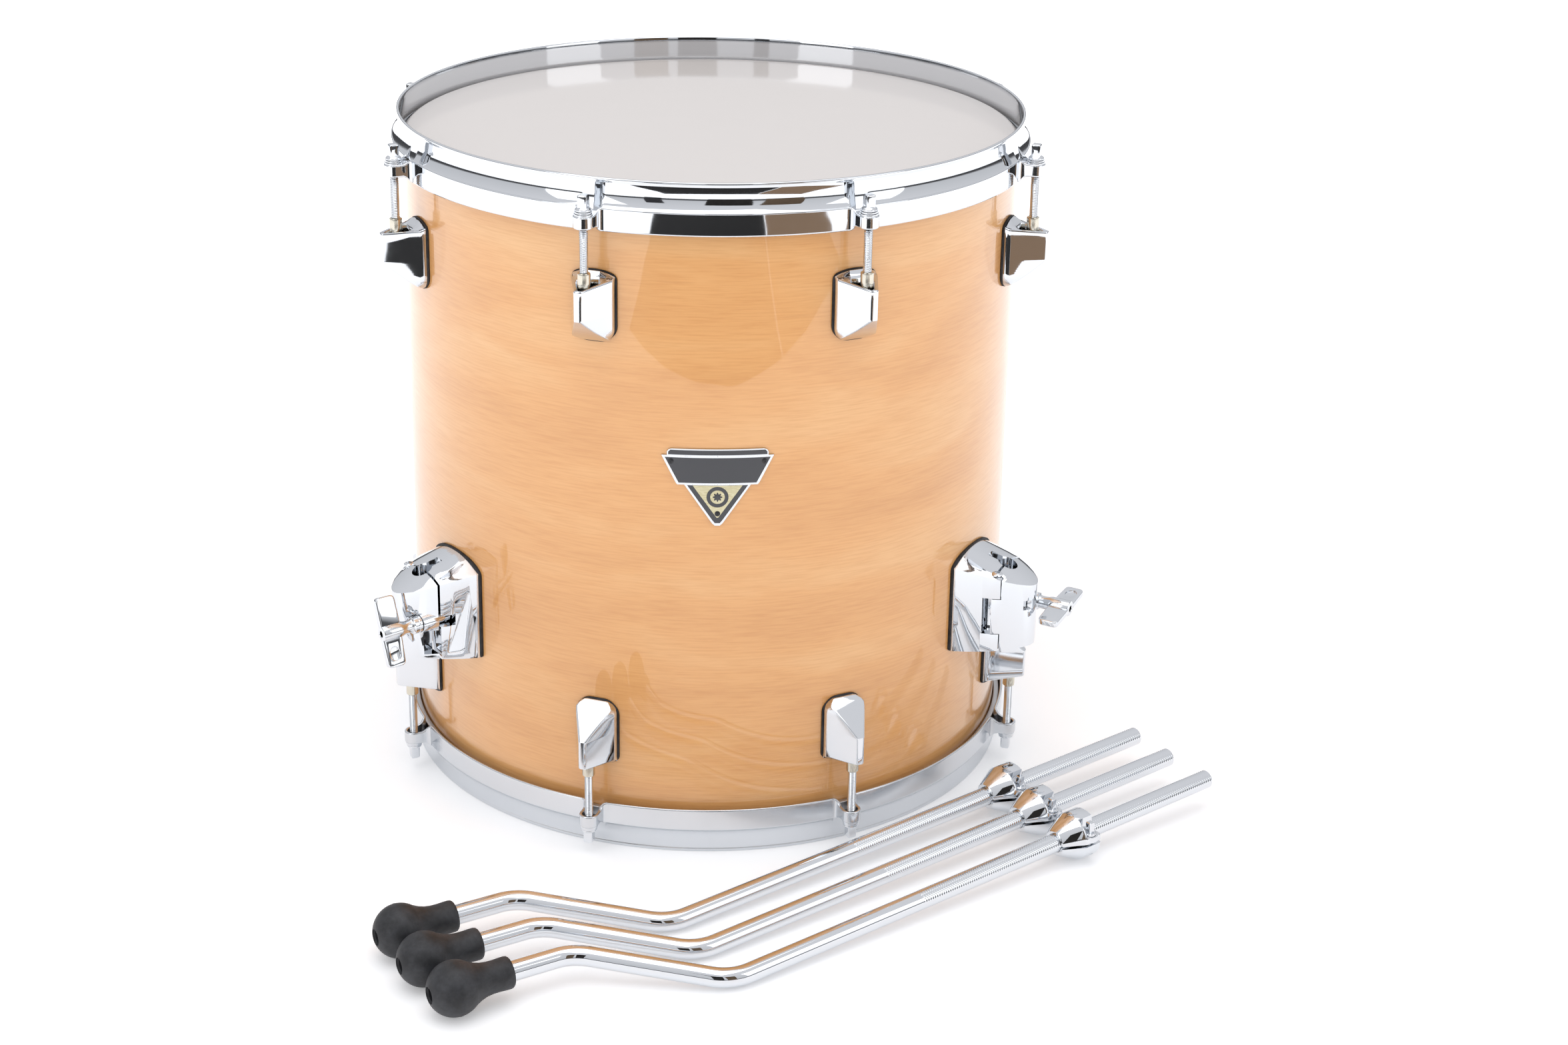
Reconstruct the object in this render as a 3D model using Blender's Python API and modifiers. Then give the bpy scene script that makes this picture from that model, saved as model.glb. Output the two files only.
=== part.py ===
"""A 16 x 16 inch maple floor tom, standing on its lower hoop with its three legs laid beside it.

Lengths are metres and +Z is up. The drum's own axis is vertical. Azimuths are measured from the drum's
front (-Y) towards +X, and each fitting is made in a radial frame: X outwards, Y the way azimuth grows,
Z up. The part's origin is the middle of its footprint, on the surface that it stands on.
"""

import math

import bmesh
import bpy
from mathutils import Matrix, Vector

# Drum
HEIGHT = 0.4384              # over both hoops
SHELL_RADIUS = 0.201         # a nominal 16 in shell, a little undersize so that its heads slip over it
SHELL_WALL = 0.006
SHELL_DEPTH = 0.4064         # 16 in, edge to edge
EDGE_DROP = 0.0035           # depth of the 45 degree bearing edge
EDGE_INSET = 0.003           # distance of its crest from the outside
GAP = 0.0003                 # clearance between pieces that touch
FILM = 0.0004
DRUM_AXIS = (-0.05414, 0.06359)   # where the drum's axis stands in the footprint

# Hoops and tension rods, as heights below the rim
ROD_COUNT = 8
ROD_CIRCLE = 0.217
FIRST_ROD = 22.5             # azimuth, degrees
RIM_RADIUS = 0.2039
COLLAR_RADIUS = 0.2035
COLLAR_BORE = 0.2020
BAND_RADIUS = 0.2078
BAND_WALL = 0.0021
COLLAR_DROP = 0.0112
LEDGE_DROP = 0.0170
LEDGE_ROUND = 0.0013
UNDER_LEDGE = 0.0192
HOOP_HEIGHT = 0.0314
EAR_DROP = 0.0198
EAR_RADIUS = 0.0062
FLESH_HOOP = (0.20135, 0.2053, 0.0196, 0.0261)   # bore, outside, top and bottom below the rim
ROD_RADIUS = 0.00275
ROD_HOLE = 0.0034
FLANGE_RADIUS = 0.0055
KEY_HEAD = 0.0062            # square, across flats
KEY_HEAD_TOP = 0.0073
FLANGE_TOP = 0.0154
ROD_END = 0.0694

# Lugs, as heights below the rim that they serve
LUG_BACK = SHELL_RADIUS + 0.0004
LUG_NOSE = 0.2275
LUG_HALF_WIDTH = 0.01365
LUG_NOSE_HALF = 0.0022
LUG_TOP = 0.0570
LUG_SHOULDER = 0.0600
LUG_NOSE_TOP = 0.0644
LUG_NOSE_END = 0.0820
LUG_CORNER = 0.0965
LUG_TAIL = 0.1004
LUG_SOCKET = 0.0044
LUG_SOCKET_END = 0.0790

# Badge
BADGE_AZIMUTH = -1.1
BADGE_ARC = 18.0
BADGE_BOTTOM = 0.2237
BADGE_TOP = 0.2732
BADGE_THICKNESS = 0.0010
BADGE_BAND = 0.85               # where the band across the top begins, as a share of the height
BADGE_TIP = 0.09                # width at the tip and under the band, as shares of the whole
BADGE_SHOULDER = 0.93

# Leg brackets
BRACKET_AZIMUTHS = (-56.0, 56.0, 180.0)
# From the back to the nose: distance from the drum's axis, half width, ridge, side wall's top and bottom
BRACKET_STATIONS = (
    (0.1955, 0.0268, 0.1742, 0.1642, 0.1040),
    (0.2030, 0.0262, 0.1715, 0.1633, 0.1052),
    (0.2200, 0.0228, 0.1665, 0.1613, 0.1079),
    (0.2275, 0.0203, 0.1643, 0.1600, 0.1090),
    (0.2340, 0.0168, 0.1615, 0.1580, 0.1100),
    (0.2400, 0.0125, 0.1585, 0.1563, 0.1108),
    (0.2450, 0.0074, 0.1558, 0.1549, 0.1115),
    (0.2480, 0.0020, 0.1540, 0.1539, 0.1119),
)
BRACKET_DOME = ((0.35, 0.90), (0.70, 0.54))  # shares of the half width and of the rise to the ridge
BRACKET_CUT = (0.0940, 0.1840)               # heights that clear the casting, for the cutters
BRACKET_WIDE = 0.0600
BRACKET_SPLIT = 0.2270
LEG_BORE = 0.0064
LEG_BORE_RADIUS = 0.2270                     # distance of the leg bore from the drum's axis
KEY_SLOT_DEPTH = 0.0130
KEY_SLOT_HALF = 0.0034
HINGE_OFFSET = -0.0160
KNUCKLE_RADIUS = 0.0045
KNUCKLE_BOTTOM = 0.1214
KNUCKLE_TOP = 0.1460
KNUCKLE_HEAD = 0.1608
KNUCKLE_FOOT = 0.1085
WINDOW_DEPTH = 0.0065
HINGE_EDGE = 0.0009             # how far the door reaches past its hinge's axis
POCKET_ROOM = 0.0008
PIN_RADIUS = 0.0020
BOLT_OFFSET = 0.0150
BOLT_HEIGHT = 0.1349
BOLT_RADIUS = 0.0030
BOLT_TIP = 0.2175
BOSS_RADIUS = 0.0060
BOSS_END = 0.2385
COLLAR_END = 0.2445
HUB_RADIUS = 0.0052
HUB_END = 0.2663
WING_FROM = 0.2525
WING_TO = 0.2667
WING_THICKNESS = 0.0042
BIG_WING = 0.0230
SMALL_WING = 0.0225
WING_TURNS = (18.0, 98.0, 60.0)             # of each bolt's big wing, from upright towards the hinge

# Legs
LEG_COUNT = 3
LEG_RADIUS = 0.0060
LEG_UPPER = 0.3830
LEG_MIDDLE = 0.0937
LEG_LOWER = 0.0780
LEG_FIRST_BEND = 42.1        # direction of the middle part against the upper part, degrees
LEG_SECOND_BEND = 6.6        # direction of the foot's part against the upper part
LEG_BEND_RADIUS = 0.0320
LEG_BEARING = 32.3           # of the upper part, from +X towards +Y
LEG_TILT = 2.07
LEG_ROLL = 12.45             # of the plane of the bends about the upper part
FIRST_BENDS = ((-0.0354, -0.2990), (-0.0195, -0.3299), (-0.0006, -0.3610))   # from the drum's axis
FOOT_RADIUS = 0.0162
FOOT_LENGTH = 0.0485
FOOT_END = 0.0875            # of the foot's far end from the second bend
FOOT_NECK = 0.0093
FOOT_BORE = LEG_RADIUS + GAP
FOOT_HOLE = 0.0042
FOOT_SEAT = 0.0090           # thickness of rubber under the leg's end
LOCK_AT = 0.2615             # middle of the memory lock from the first bend
LOCK_LENGTH = 0.0260
LOCK_BAND = 0.0120
LOCK_RADIUS = 0.0155
LOCK_NECK = 0.0085
LOCK_BORE = LEG_RADIUS + GAP
LOCK_SLIT = 0.0020
LOCK_SCREW_OFFSET = 0.0110
LOCK_SCREW_RADIUS = 0.0018
LOCK_SCREW_HEAD = 0.0050

BIG_STEPS = 64
MERGE = 0.000001
SOLIDS = None
CUTTERS = None


def new_material(name, colour, metallic, roughness):
    """A Principled BSDF in one plain finish."""
    material = bpy.data.materials.new(name)
    material.use_nodes = True
    shader = material.node_tree.nodes["Principled BSDF"]
    shader.inputs["Base Color"].default_value = (*colour, 1.0)
    shader.inputs["Metallic"].default_value = metallic
    shader.inputs["Roughness"].default_value = roughness
    return material


def new_collection(name):
    """A collection linked to the scene."""
    collection = bpy.data.collections.new(name)
    bpy.context.scene.collection.children.link(collection)
    return collection


def new_object(name, mesh, collection=None):
    """An object that holds the mesh, in the cutters' collection unless another is given."""
    made = bpy.data.objects.new(name, mesh)
    (collection or CUTTERS).objects.link(made)
    if collection is None:
        made.hide_render = True
        made.display_type = "WIRE"
    return made


def place(name, mesh, material, matrix, origin=(0.0, 0.0, 0.0)):
    """One finished sub-part at its place in the drum's frame, its object's origin on its joint's axis."""
    shift = Matrix.Translation(origin)
    mesh.transform(shift.inverted())
    made = new_object(name, mesh, SOLIDS)
    made.matrix_world = Matrix.Translation((*DRUM_AXIS, 0.0)) @ matrix @ shift
    made.data.materials.clear()
    made.data.materials.append(material)
    return made


def radial(azimuth):
    """The frame of a fitting: X outwards at the azimuth, Y the way azimuth grows."""
    return Matrix.Rotation(math.radians(azimuth - 90.0), 4, "Z")


def turned_over():
    """Turns a piece of the upper head's end over onto the lower one."""
    return Matrix.Translation((0.0, 0.0, HEIGHT)) @ Matrix.Rotation(math.pi, 4, "X")


def finished(source):
    """The evaluated mesh of an object, with its normals and sharp edges set; the object is removed."""
    bpy.context.view_layer.update()
    graph = bpy.context.evaluated_depsgraph_get()
    mesh = bpy.data.meshes.new_from_object(source.evaluated_get(graph))
    bpy.data.objects.remove(source)
    form = bmesh.new()
    form.from_mesh(mesh)
    bmesh.ops.remove_doubles(form, verts=form.verts, dist=MERGE)
    bmesh.ops.dissolve_degenerate(form, edges=form.edges, dist=MERGE)
    bmesh.ops.triangulate(form, faces=form.faces)
    form.to_mesh(mesh)
    form.free()
    mesh.shade_smooth()
    mesh.set_sharp_from_angle(angle=math.radians(30.0))
    return mesh


def turned(profile, steps, closed):
    """A turned piece about Z. The profile, as (radius, height), runs down the outer side."""
    points = [(radius, 0.0, height) for radius, height in profile]
    edges = [(i, i + 1) for i in range(len(points) - 1)]
    if closed:
        edges.append((len(points) - 1, 0))
    mesh = bpy.data.meshes.new("turned")
    mesh.from_pydata(points, edges, [])
    made = new_object("turned", mesh)
    screw = made.modifiers.new("Screw", "SCREW")
    screw.steps = steps
    screw.render_steps = steps
    screw.use_merge_vertices = True
    screw.merge_threshold = MERGE
    return made


def plate(outline, thickness):
    """A flat outline in XY, thick along +Z, as a closed mesh."""
    curve = bpy.data.curves.new("plate", "CURVE")
    curve.dimensions = "2D"
    curve.fill_mode = "BOTH"
    curve.extrude = thickness / 2
    spline = curve.splines.new("POLY")
    spline.points.add(len(outline) - 1)
    for point, (x, y) in zip(spline.points, outline):
        point.co = (x, y, 0.0, 1.0)
    spline.use_cyclic_u = True
    made = bpy.data.objects.new("plate", curve)
    CUTTERS.objects.link(made)
    mesh = finished(made)
    bpy.data.curves.remove(curve)
    mesh.transform(Matrix.Translation((0.0, 0.0, thickness / 2)))
    return mesh


def hull(points):
    """The convex casting round a set of corners."""
    form = bmesh.new()
    for point in points:
        form.verts.new(point)
    bmesh.ops.convex_hull(form, input=form.verts)
    bmesh.ops.recalc_face_normals(form, faces=form.faces)
    mesh = bpy.data.meshes.new("hull")
    form.to_mesh(mesh)
    form.free()
    return new_object("hull", mesh)


def box(low, high):
    """A box between two corners."""
    low, high = Vector(low), Vector(high)
    form = bmesh.new()
    bmesh.ops.create_cube(form, size=1.0)
    bmesh.ops.scale(form, vec=high - low, verts=form.verts)
    bmesh.ops.translate(form, vec=(low + high) / 2, verts=form.verts)
    mesh = bpy.data.meshes.new("box")
    form.to_mesh(mesh)
    form.free()
    return new_object("box", mesh)


def rod(start, end, radius, sides=16):
    """A cylinder between two points."""
    start, end = Vector(start), Vector(end)
    turn = (end - start).to_track_quat("Z", "Y").to_matrix().to_4x4()
    form = bmesh.new()
    bmesh.ops.create_cone(
        form, cap_ends=True, segments=sides, radius1=radius, radius2=radius, depth=(end - start).length
    )
    bmesh.ops.transform(form, matrix=Matrix.Translation((start + end) / 2) @ turn, verts=form.verts)
    mesh = bpy.data.meshes.new("rod")
    form.to_mesh(mesh)
    form.free()
    return new_object("rod", mesh)


def combine(target, tool, operation):
    """Joins or cuts the target with the tool, and removes the tool."""
    change = target.modifiers.new(operation, "BOOLEAN")
    change.operation = operation
    change.object = tool
    mesh = finished(target)
    bpy.data.objects.remove(tool)
    return new_object("combined", mesh)


def ring_of(mesh, azimuths):
    """One mesh with a copy of another at each azimuth."""
    form = bmesh.new()
    for azimuth in azimuths:
        copy = mesh.copy()
        copy.transform(radial(azimuth))
        form.from_mesh(copy)
        bpy.data.meshes.remove(copy)
    joined = bpy.data.meshes.new("ring")
    form.to_mesh(joined)
    form.free()
    return new_object("ring", joined)


def rod_azimuths():
    """The azimuths of the tension rods, from the front left round by the right to the back."""
    return [FIRST_ROD - 90.0 + i * 360.0 / ROD_COUNT for i in range(ROD_COUNT)]


def below_rim(drop):
    """The height of something given as a drop below the upper rim."""
    return HEIGHT - drop


def make_shell(maple):
    """The tube of the drum, with 45 degree bearing edges at both ends."""
    low, high = (HEIGHT - SHELL_DEPTH) / 2, (HEIGHT + SHELL_DEPTH) / 2
    bore = SHELL_RADIUS - SHELL_WALL
    crest = SHELL_RADIUS - EDGE_INSET
    profile = [
        (crest, high),
        (SHELL_RADIUS, high - EDGE_DROP),
        (SHELL_RADIUS, low + EDGE_DROP),
        (crest, low),
        (bore, low + EDGE_INSET),
        (bore, high - EDGE_INSET),
    ]
    mesh = finished(turned(profile, BIG_STEPS, closed=True))
    place("shell", mesh, maple, Matrix())


def make_badge(steel):
    """A thin shield bent to the shell: a band across the top, then tapering to a blunt tip."""
    columns, rows = 8, 14
    radius = SHELL_RADIUS + 2 * GAP
    form = bmesh.new()
    bmesh.ops.create_grid(form, x_segments=columns, y_segments=rows, size=0.5)
    for vert in form.verts:
        up = vert.co.y + 0.5
        taper = 1.0 if up > BADGE_BAND else BADGE_TIP + (BADGE_SHOULDER - BADGE_TIP) * up / BADGE_BAND
        angle = math.radians(vert.co.x * BADGE_ARC * taper)
        height = BADGE_BOTTOM + up * (BADGE_TOP - BADGE_BOTTOM)
        vert.co = (radius * math.cos(angle), radius * math.sin(angle), height)
    bmesh.ops.recalc_face_normals(form, faces=form.faces)
    mesh = bpy.data.meshes.new("badge")
    form.to_mesh(mesh)
    form.free()
    if mesh.polygons[0].normal.x < 0:
        mesh.flip_normals()
    made = new_object("badge_sheet", mesh)
    solid = made.modifiers.new("Solidify", "SOLIDIFY")
    solid.thickness = BADGE_THICKNESS
    solid.offset = 1.0
    place("badge", finished(made), steel, radial(BADGE_AZIMUTH))


def head_mesh():
    """A drumhead: the film over the bearing edge, its collar and the flesh hoop bonded round it."""
    crest = (HEIGHT + SHELL_DEPTH) / 2
    bore, outside, top, bottom = FLESH_HOOP
    under = crest + GAP + 0.0001
    flat = SHELL_RADIUS - EDGE_INSET
    shoulder = below_rim(top) + 0.0004
    profile = [
        (0.0, under + FILM),
        (flat + 0.0002, under + FILM),
        (bore + FILM, shoulder),
        (bore + FILM, below_rim(top)),
        (outside, below_rim(top)),
        (outside, below_rim(bottom)),
        (bore, below_rim(bottom)),
        (bore, shoulder - 0.0001),
        (flat, under),
        (0.0, under),
    ]
    return finished(turned(profile, BIG_STEPS, closed=False))


def ear_outline():
    """The plan of one hoop ear: it grows out of the band and rounds the tension rod."""
    root = BAND_RADIUS - BAND_WALL / 2
    side = [(root, 0.0112), (0.2100, 0.0090), (0.2130, 0.0070)]
    arc = []
    for i in range(7):
        angle = math.radians(80.0 - i * 160.0 / 6)
        arc.append((ROD_CIRCLE + EAR_RADIUS * math.cos(angle), EAR_RADIUS * math.sin(angle)))
    return side + arc + [(x, -y) for x, y in reversed(side)]


def hoop_mesh():
    """A pressed steel hoop: rim, collar, ledge over the flesh hoop and an outer band with eight ears."""
    profile = [
        (RIM_RADIUS, below_rim(0.0)),
        (RIM_RADIUS, below_rim(0.0016)),
        (COLLAR_RADIUS, below_rim(0.0022)),
        (COLLAR_RADIUS, below_rim(COLLAR_DROP)),
        (BAND_RADIUS - LEDGE_ROUND, below_rim(LEDGE_DROP - LEDGE_ROUND)),
        (BAND_RADIUS, below_rim(LEDGE_DROP)),
        (BAND_RADIUS, below_rim(HOOP_HEIGHT)),
        (BAND_RADIUS - BAND_WALL, below_rim(HOOP_HEIGHT)),
        (BAND_RADIUS - BAND_WALL, below_rim(UNDER_LEDGE)),
        (COLLAR_BORE, below_rim(UNDER_LEDGE)),
        (COLLAR_BORE, below_rim(0.0)),
    ]
    ear = plate(ear_outline(), HOOP_HEIGHT - EAR_DROP)
    ear.transform(Matrix.Translation((0.0, 0.0, below_rim(HOOP_HEIGHT))))
    hole = rod((ROD_CIRCLE, 0.0, below_rim(0.04)), (ROD_CIRCLE, 0.0, below_rim(0.01)), ROD_HOLE, 12)
    hoop = combine(turned(profile, BIG_STEPS, closed=True), ring_of(ear, rod_azimuths()), "UNION")
    hoop = combine(hoop, ring_of(finished(hole), rod_azimuths()), "DIFFERENCE")
    return finished(hoop)


def tension_rod_mesh():
    """A tension rod: square key head, flange and threaded shank, on Z at the rod circle."""
    profile = [
        (0.0, below_rim(FLANGE_TOP)),
        (FLANGE_RADIUS, below_rim(FLANGE_TOP)),
        (FLANGE_RADIUS, below_rim(EAR_DROP - GAP)),
        (ROD_RADIUS, below_rim(EAR_DROP - GAP)),
        (ROD_RADIUS, below_rim(ROD_END)),
        (0.0, below_rim(ROD_END)),
    ]
    half = KEY_HEAD / 2
    low = (-half, -half, below_rim(FLANGE_TOP + 0.001))
    high = (half, half, below_rim(KEY_HEAD_TOP))
    mesh = finished(combine(turned(profile, 12, closed=False), box(low, high), "UNION"))
    mesh.transform(Matrix.Translation((ROD_CIRCLE, 0.0, 0.0)))
    return mesh


def lug_mesh():
    """A cast lug: a V shaped mouth sloping down to a narrow nose, flat flanks and a rounded tail."""
    corners = [(LUG_BACK, 0.0, below_rim(LUG_TOP))]
    for side in (-1.0, 1.0):
        edge = side * LUG_HALF_WIDTH
        corners += [
            (LUG_BACK, edge, below_rim(LUG_SHOULDER)),
            (LUG_BACK, edge, below_rim(LUG_CORNER - 0.004)),
            (LUG_BACK, edge * 0.55, below_rim(LUG_TAIL)),
            (LUG_NOSE, side * LUG_NOSE_HALF, below_rim(LUG_NOSE_TOP)),
            (LUG_NOSE, side * LUG_NOSE_HALF, below_rim(LUG_NOSE_END)),
            (LUG_BACK + 0.0090, edge * 0.55, below_rim(LUG_CORNER)),
            (LUG_BACK + 0.0040, edge * 0.97, below_rim(LUG_CORNER - 0.005)),
            (LUG_BACK + 0.0030, edge, below_rim(LUG_SHOULDER + 0.0005)),
        ]
    top = (ROD_CIRCLE, 0.0, below_rim(LUG_TOP - 0.005))
    socket = rod(top, (ROD_CIRCLE, 0.0, below_rim(LUG_SOCKET_END)), LUG_SOCKET, 12)
    return finished(combine(hull(corners), socket, "DIFFERENCE"))


def bracket_casting():
    """The bracket's whole outside, before it is parted into base and door: a hull round its stations."""
    corners = []
    for out, half, crest, crease, bottom in BRACKET_STATIONS:
        corners.append((out, 0.0, crest))
        for side in (-1.0, 1.0):
            corners += [(out, side * half, bottom), (out, side * half, crease)]
            for share, rise in BRACKET_DOME:
                corners.append((out, side * half * share, crease + (crest - crease) * rise))
    return hull(corners)


def leg_passage():
    """The leg bore and the key slot on its inner side, right through the bracket."""
    low, high = BRACKET_CUT
    bore = rod((LEG_BORE_RADIUS, 0.0, low), (LEG_BORE_RADIUS, 0.0, high), LEG_BORE, 16)
    slot = box(
        (LEG_BORE_RADIUS - KEY_SLOT_DEPTH, -KEY_SLOT_HALF, low),
        (LEG_BORE_RADIUS, KEY_SLOT_HALF, high),
    )
    return combine(bore, slot, "UNION")


def upright(offset, radius, low, high):
    """A vertical cylinder on the parting plane."""
    return rod((BRACKET_SPLIT, offset, low), (BRACKET_SPLIT, offset, high), radius, 10)


def bracket_base_mesh():
    """The half that is screwed to the shell, with the outer knuckles and the hinge pin."""
    base = combine(bracket_casting(), leg_passage(), "DIFFERENCE")
    low, high = BRACKET_CUT
    beyond = box((BRACKET_SPLIT - GAP, -BRACKET_WIDE, low), (HUB_END, BRACKET_WIDE, high))
    base = combine(base, beyond, "DIFFERENCE")
    seat = rod((0.0, 0.0, low), (0.0, 0.0, high), SHELL_RADIUS + 2 * GAP, BIG_STEPS)
    base = combine(base, seat, "DIFFERENCE")
    clear = upright(HINGE_OFFSET, KNUCKLE_RADIUS + 3 * GAP, KNUCKLE_BOTTOM - GAP, KNUCKLE_TOP + GAP)
    window = box(
        (BRACKET_SPLIT - WINDOW_DEPTH, -BRACKET_WIDE, KNUCKLE_BOTTOM - GAP),
        (HUB_END, HINGE_OFFSET + PIN_RADIUS, KNUCKLE_TOP + GAP),
    )
    for bottom, top in ((KNUCKLE_FOOT, KNUCKLE_BOTTOM - GAP), (KNUCKLE_TOP + GAP, KNUCKLE_HEAD)):
        base = combine(base, upright(HINGE_OFFSET, KNUCKLE_RADIUS, bottom, top), "UNION")
    base = combine(base, clear, "DIFFERENCE")
    base = combine(base, window, "DIFFERENCE")
    pin = upright(HINGE_OFFSET, PIN_RADIUS, KNUCKLE_FOOT + GAP, KNUCKLE_HEAD - GAP)
    base = combine(base, pin, "UNION")
    pocket = box(
        (BOLT_TIP - POCKET_ROOM, BOLT_OFFSET - BOLT_RADIUS - POCKET_ROOM, BOLT_HEIGHT - BOLT_RADIUS - POCKET_ROOM),
        (HUB_END, BRACKET_WIDE, BOLT_HEIGHT + BOLT_RADIUS + POCKET_ROOM),
    )
    return finished(combine(base, pocket, "DIFFERENCE"))


def bracket_door_mesh():
    """The hinged outer half: a knuckle between the base's two, and a boss for the wing bolt."""
    door = combine(bracket_casting(), leg_passage(), "DIFFERENCE")
    low, high = BRACKET_CUT
    behind = box((BRACKET_STATIONS[0][0], -BRACKET_WIDE, low), (BRACKET_SPLIT + GAP, BRACKET_WIDE, high))
    door = combine(door, behind, "DIFFERENCE")
    flank = box((SHELL_RADIUS, -BRACKET_WIDE, low), (HUB_END, HINGE_OFFSET - HINGE_EDGE, high))
    door = combine(door, flank, "DIFFERENCE")
    for bottom, top in ((low, KNUCKLE_BOTTOM), (KNUCKLE_TOP, high)):
        relief = upright(HINGE_OFFSET, KNUCKLE_RADIUS + 2 * GAP, bottom, top)
        door = combine(door, relief, "DIFFERENCE")
    knuckle = upright(HINGE_OFFSET, KNUCKLE_RADIUS, KNUCKLE_BOTTOM + GAP, KNUCKLE_TOP - GAP)
    door = combine(door, knuckle, "UNION")
    eye = upright(HINGE_OFFSET, PIN_RADIUS + GAP, low, high)
    door = combine(door, eye, "DIFFERENCE")

    def round_bolt(start, end, radius):
        return rod((start, BOLT_OFFSET, BOLT_HEIGHT), (end, BOLT_OFFSET, BOLT_HEIGHT), radius, 12)

    door = combine(door, round_bolt(BRACKET_SPLIT + GAP, BOSS_END + GAP, BOSS_RADIUS), "UNION")
    door = combine(door, round_bolt(BOSS_END, HUB_END, BOSS_RADIUS + GAP), "DIFFERENCE")
    hole = round_bolt(SHELL_RADIUS, HUB_END, BOLT_RADIUS + 2 * GAP)
    return finished(combine(door, hole, "DIFFERENCE"))


def wing_bolt_mesh():
    """The clamping bolt: shank, collar, hub and one large and one small wing."""

    def along(start, end, radius):
        return rod((start, BOLT_OFFSET, BOLT_HEIGHT), (end, BOLT_OFFSET, BOLT_HEIGHT), radius, 12)

    half = WING_THICKNESS / 2
    bolt = along(BOLT_TIP, COLLAR_END, BOLT_RADIUS)
    bolt = combine(bolt, along(BOSS_END + GAP, COLLAR_END, BOSS_RADIUS - GAP), "UNION")
    bolt = combine(bolt, along(COLLAR_END - GAP, HUB_END, HUB_RADIUS), "UNION")
    wings = box(
        (WING_FROM, BOLT_OFFSET - half, BOLT_HEIGHT - SMALL_WING),
        (WING_TO, BOLT_OFFSET + half, BOLT_HEIGHT + BIG_WING),
    )
    return finished(combine(bolt, wings, "UNION"))


def leg_frame(first_bend):
    """The frame of a lying leg: origin at the first bend, X towards the upper end, XY the plane of bends."""
    x, y = first_bend
    place_at = Matrix.Translation((x, y, LEG_RADIUS + GAP))
    bearing = Matrix.Rotation(math.radians(LEG_BEARING), 4, "Z")
    tilt = Matrix.Rotation(-math.radians(LEG_TILT), 4, "Y")
    roll = Matrix.Rotation(math.radians(LEG_ROLL), 4, "X")
    return place_at @ bearing @ tilt @ roll


def leg_corners():
    """The corners of the leg's centre line: upper end, first bend, second bend and lower end."""
    first = math.radians(LEG_FIRST_BEND)
    second = math.radians(LEG_SECOND_BEND)
    bend = Vector((-math.cos(first), math.sin(first), 0.0)) * LEG_MIDDLE
    end = bend + Vector((-math.cos(second), math.sin(second), 0.0)) * LEG_LOWER
    return [Vector((LEG_UPPER, 0.0, 0.0)), Vector((0.0, 0.0, 0.0)), bend, end]


def rounded(corners, radius, steps):
    """The corners' path with each inner corner replaced by an arc."""
    path = [corners[0]]
    for before, corner, after in zip(corners, corners[1:], corners[2:]):
        inward = (before - corner).normalized()
        outward = (after - corner).normalized()
        half = inward.angle(outward) / 2
        centre = corner + (inward + outward).normalized() * radius / math.sin(half)
        start = corner + inward * radius / math.tan(half) - centre
        axis = start.cross(corner - centre).normalized()
        for i in range(steps + 1):
            swing = Matrix.Rotation((math.pi - 2 * half) * i / steps, 3, axis)
            path.append(centre + swing @ start)
    return path + [corners[-1]]


def leg_mesh():
    """The bent steel rod of one leg."""
    curve = bpy.data.curves.new("leg", "CURVE")
    curve.dimensions = "3D"
    curve.bevel_depth = LEG_RADIUS
    curve.bevel_resolution = 2
    curve.use_fill_caps = True
    path = rounded(leg_corners(), LEG_BEND_RADIUS, 4)
    spline = curve.splines.new("POLY")
    spline.points.add(len(path) - 1)
    for point, at in zip(spline.points, path):
        point.co = (*at, 1.0)
    made = bpy.data.objects.new("leg", curve)
    CUTTERS.objects.link(made)
    mesh = finished(made)
    bpy.data.curves.remove(curve)
    return mesh


def foot_mesh():
    """A rubber foot on the leg's lower end: a ball with a neck, bored for the rod and open at its tip."""
    middle = FOOT_LENGTH - FOOT_RADIUS + 0.0020
    profile = [(FOOT_NECK, 0.0), (FOOT_NECK, 0.0120)]
    for i in range(5):
        angle = math.radians(-48.0 + i * 30.0)
        profile.append((FOOT_RADIUS * math.cos(angle), middle + FOOT_RADIUS * math.sin(angle)))
    profile.append((FOOT_HOLE, FOOT_LENGTH))
    profile.append((FOOT_HOLE, FOOT_LENGTH - FOOT_SEAT))
    profile.append((FOOT_BORE, FOOT_LENGTH - FOOT_SEAT))
    profile.append((FOOT_BORE, 0.0))
    upside = [(radius, -height) for radius, height in profile]
    mesh = finished(turned(upside, 14, closed=True))
    along = leg_corners()[3] - leg_corners()[2]
    turn = (-along).to_track_quat("Z", "Y").to_matrix().to_4x4()
    start = leg_corners()[2] + along.normalized() * (FOOT_END - FOOT_LENGTH)
    mesh.transform(Matrix.Translation(start) @ turn)
    return mesh


def lock_frame():
    """The memory lock on the leg: X along the rod from the lock's middle, Z up and Y away from the front."""
    level = Matrix.Rotation(-math.radians(LEG_ROLL), 4, "X")
    return Matrix.Translation((LOCK_AT, 0.0, 0.0)) @ level


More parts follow.
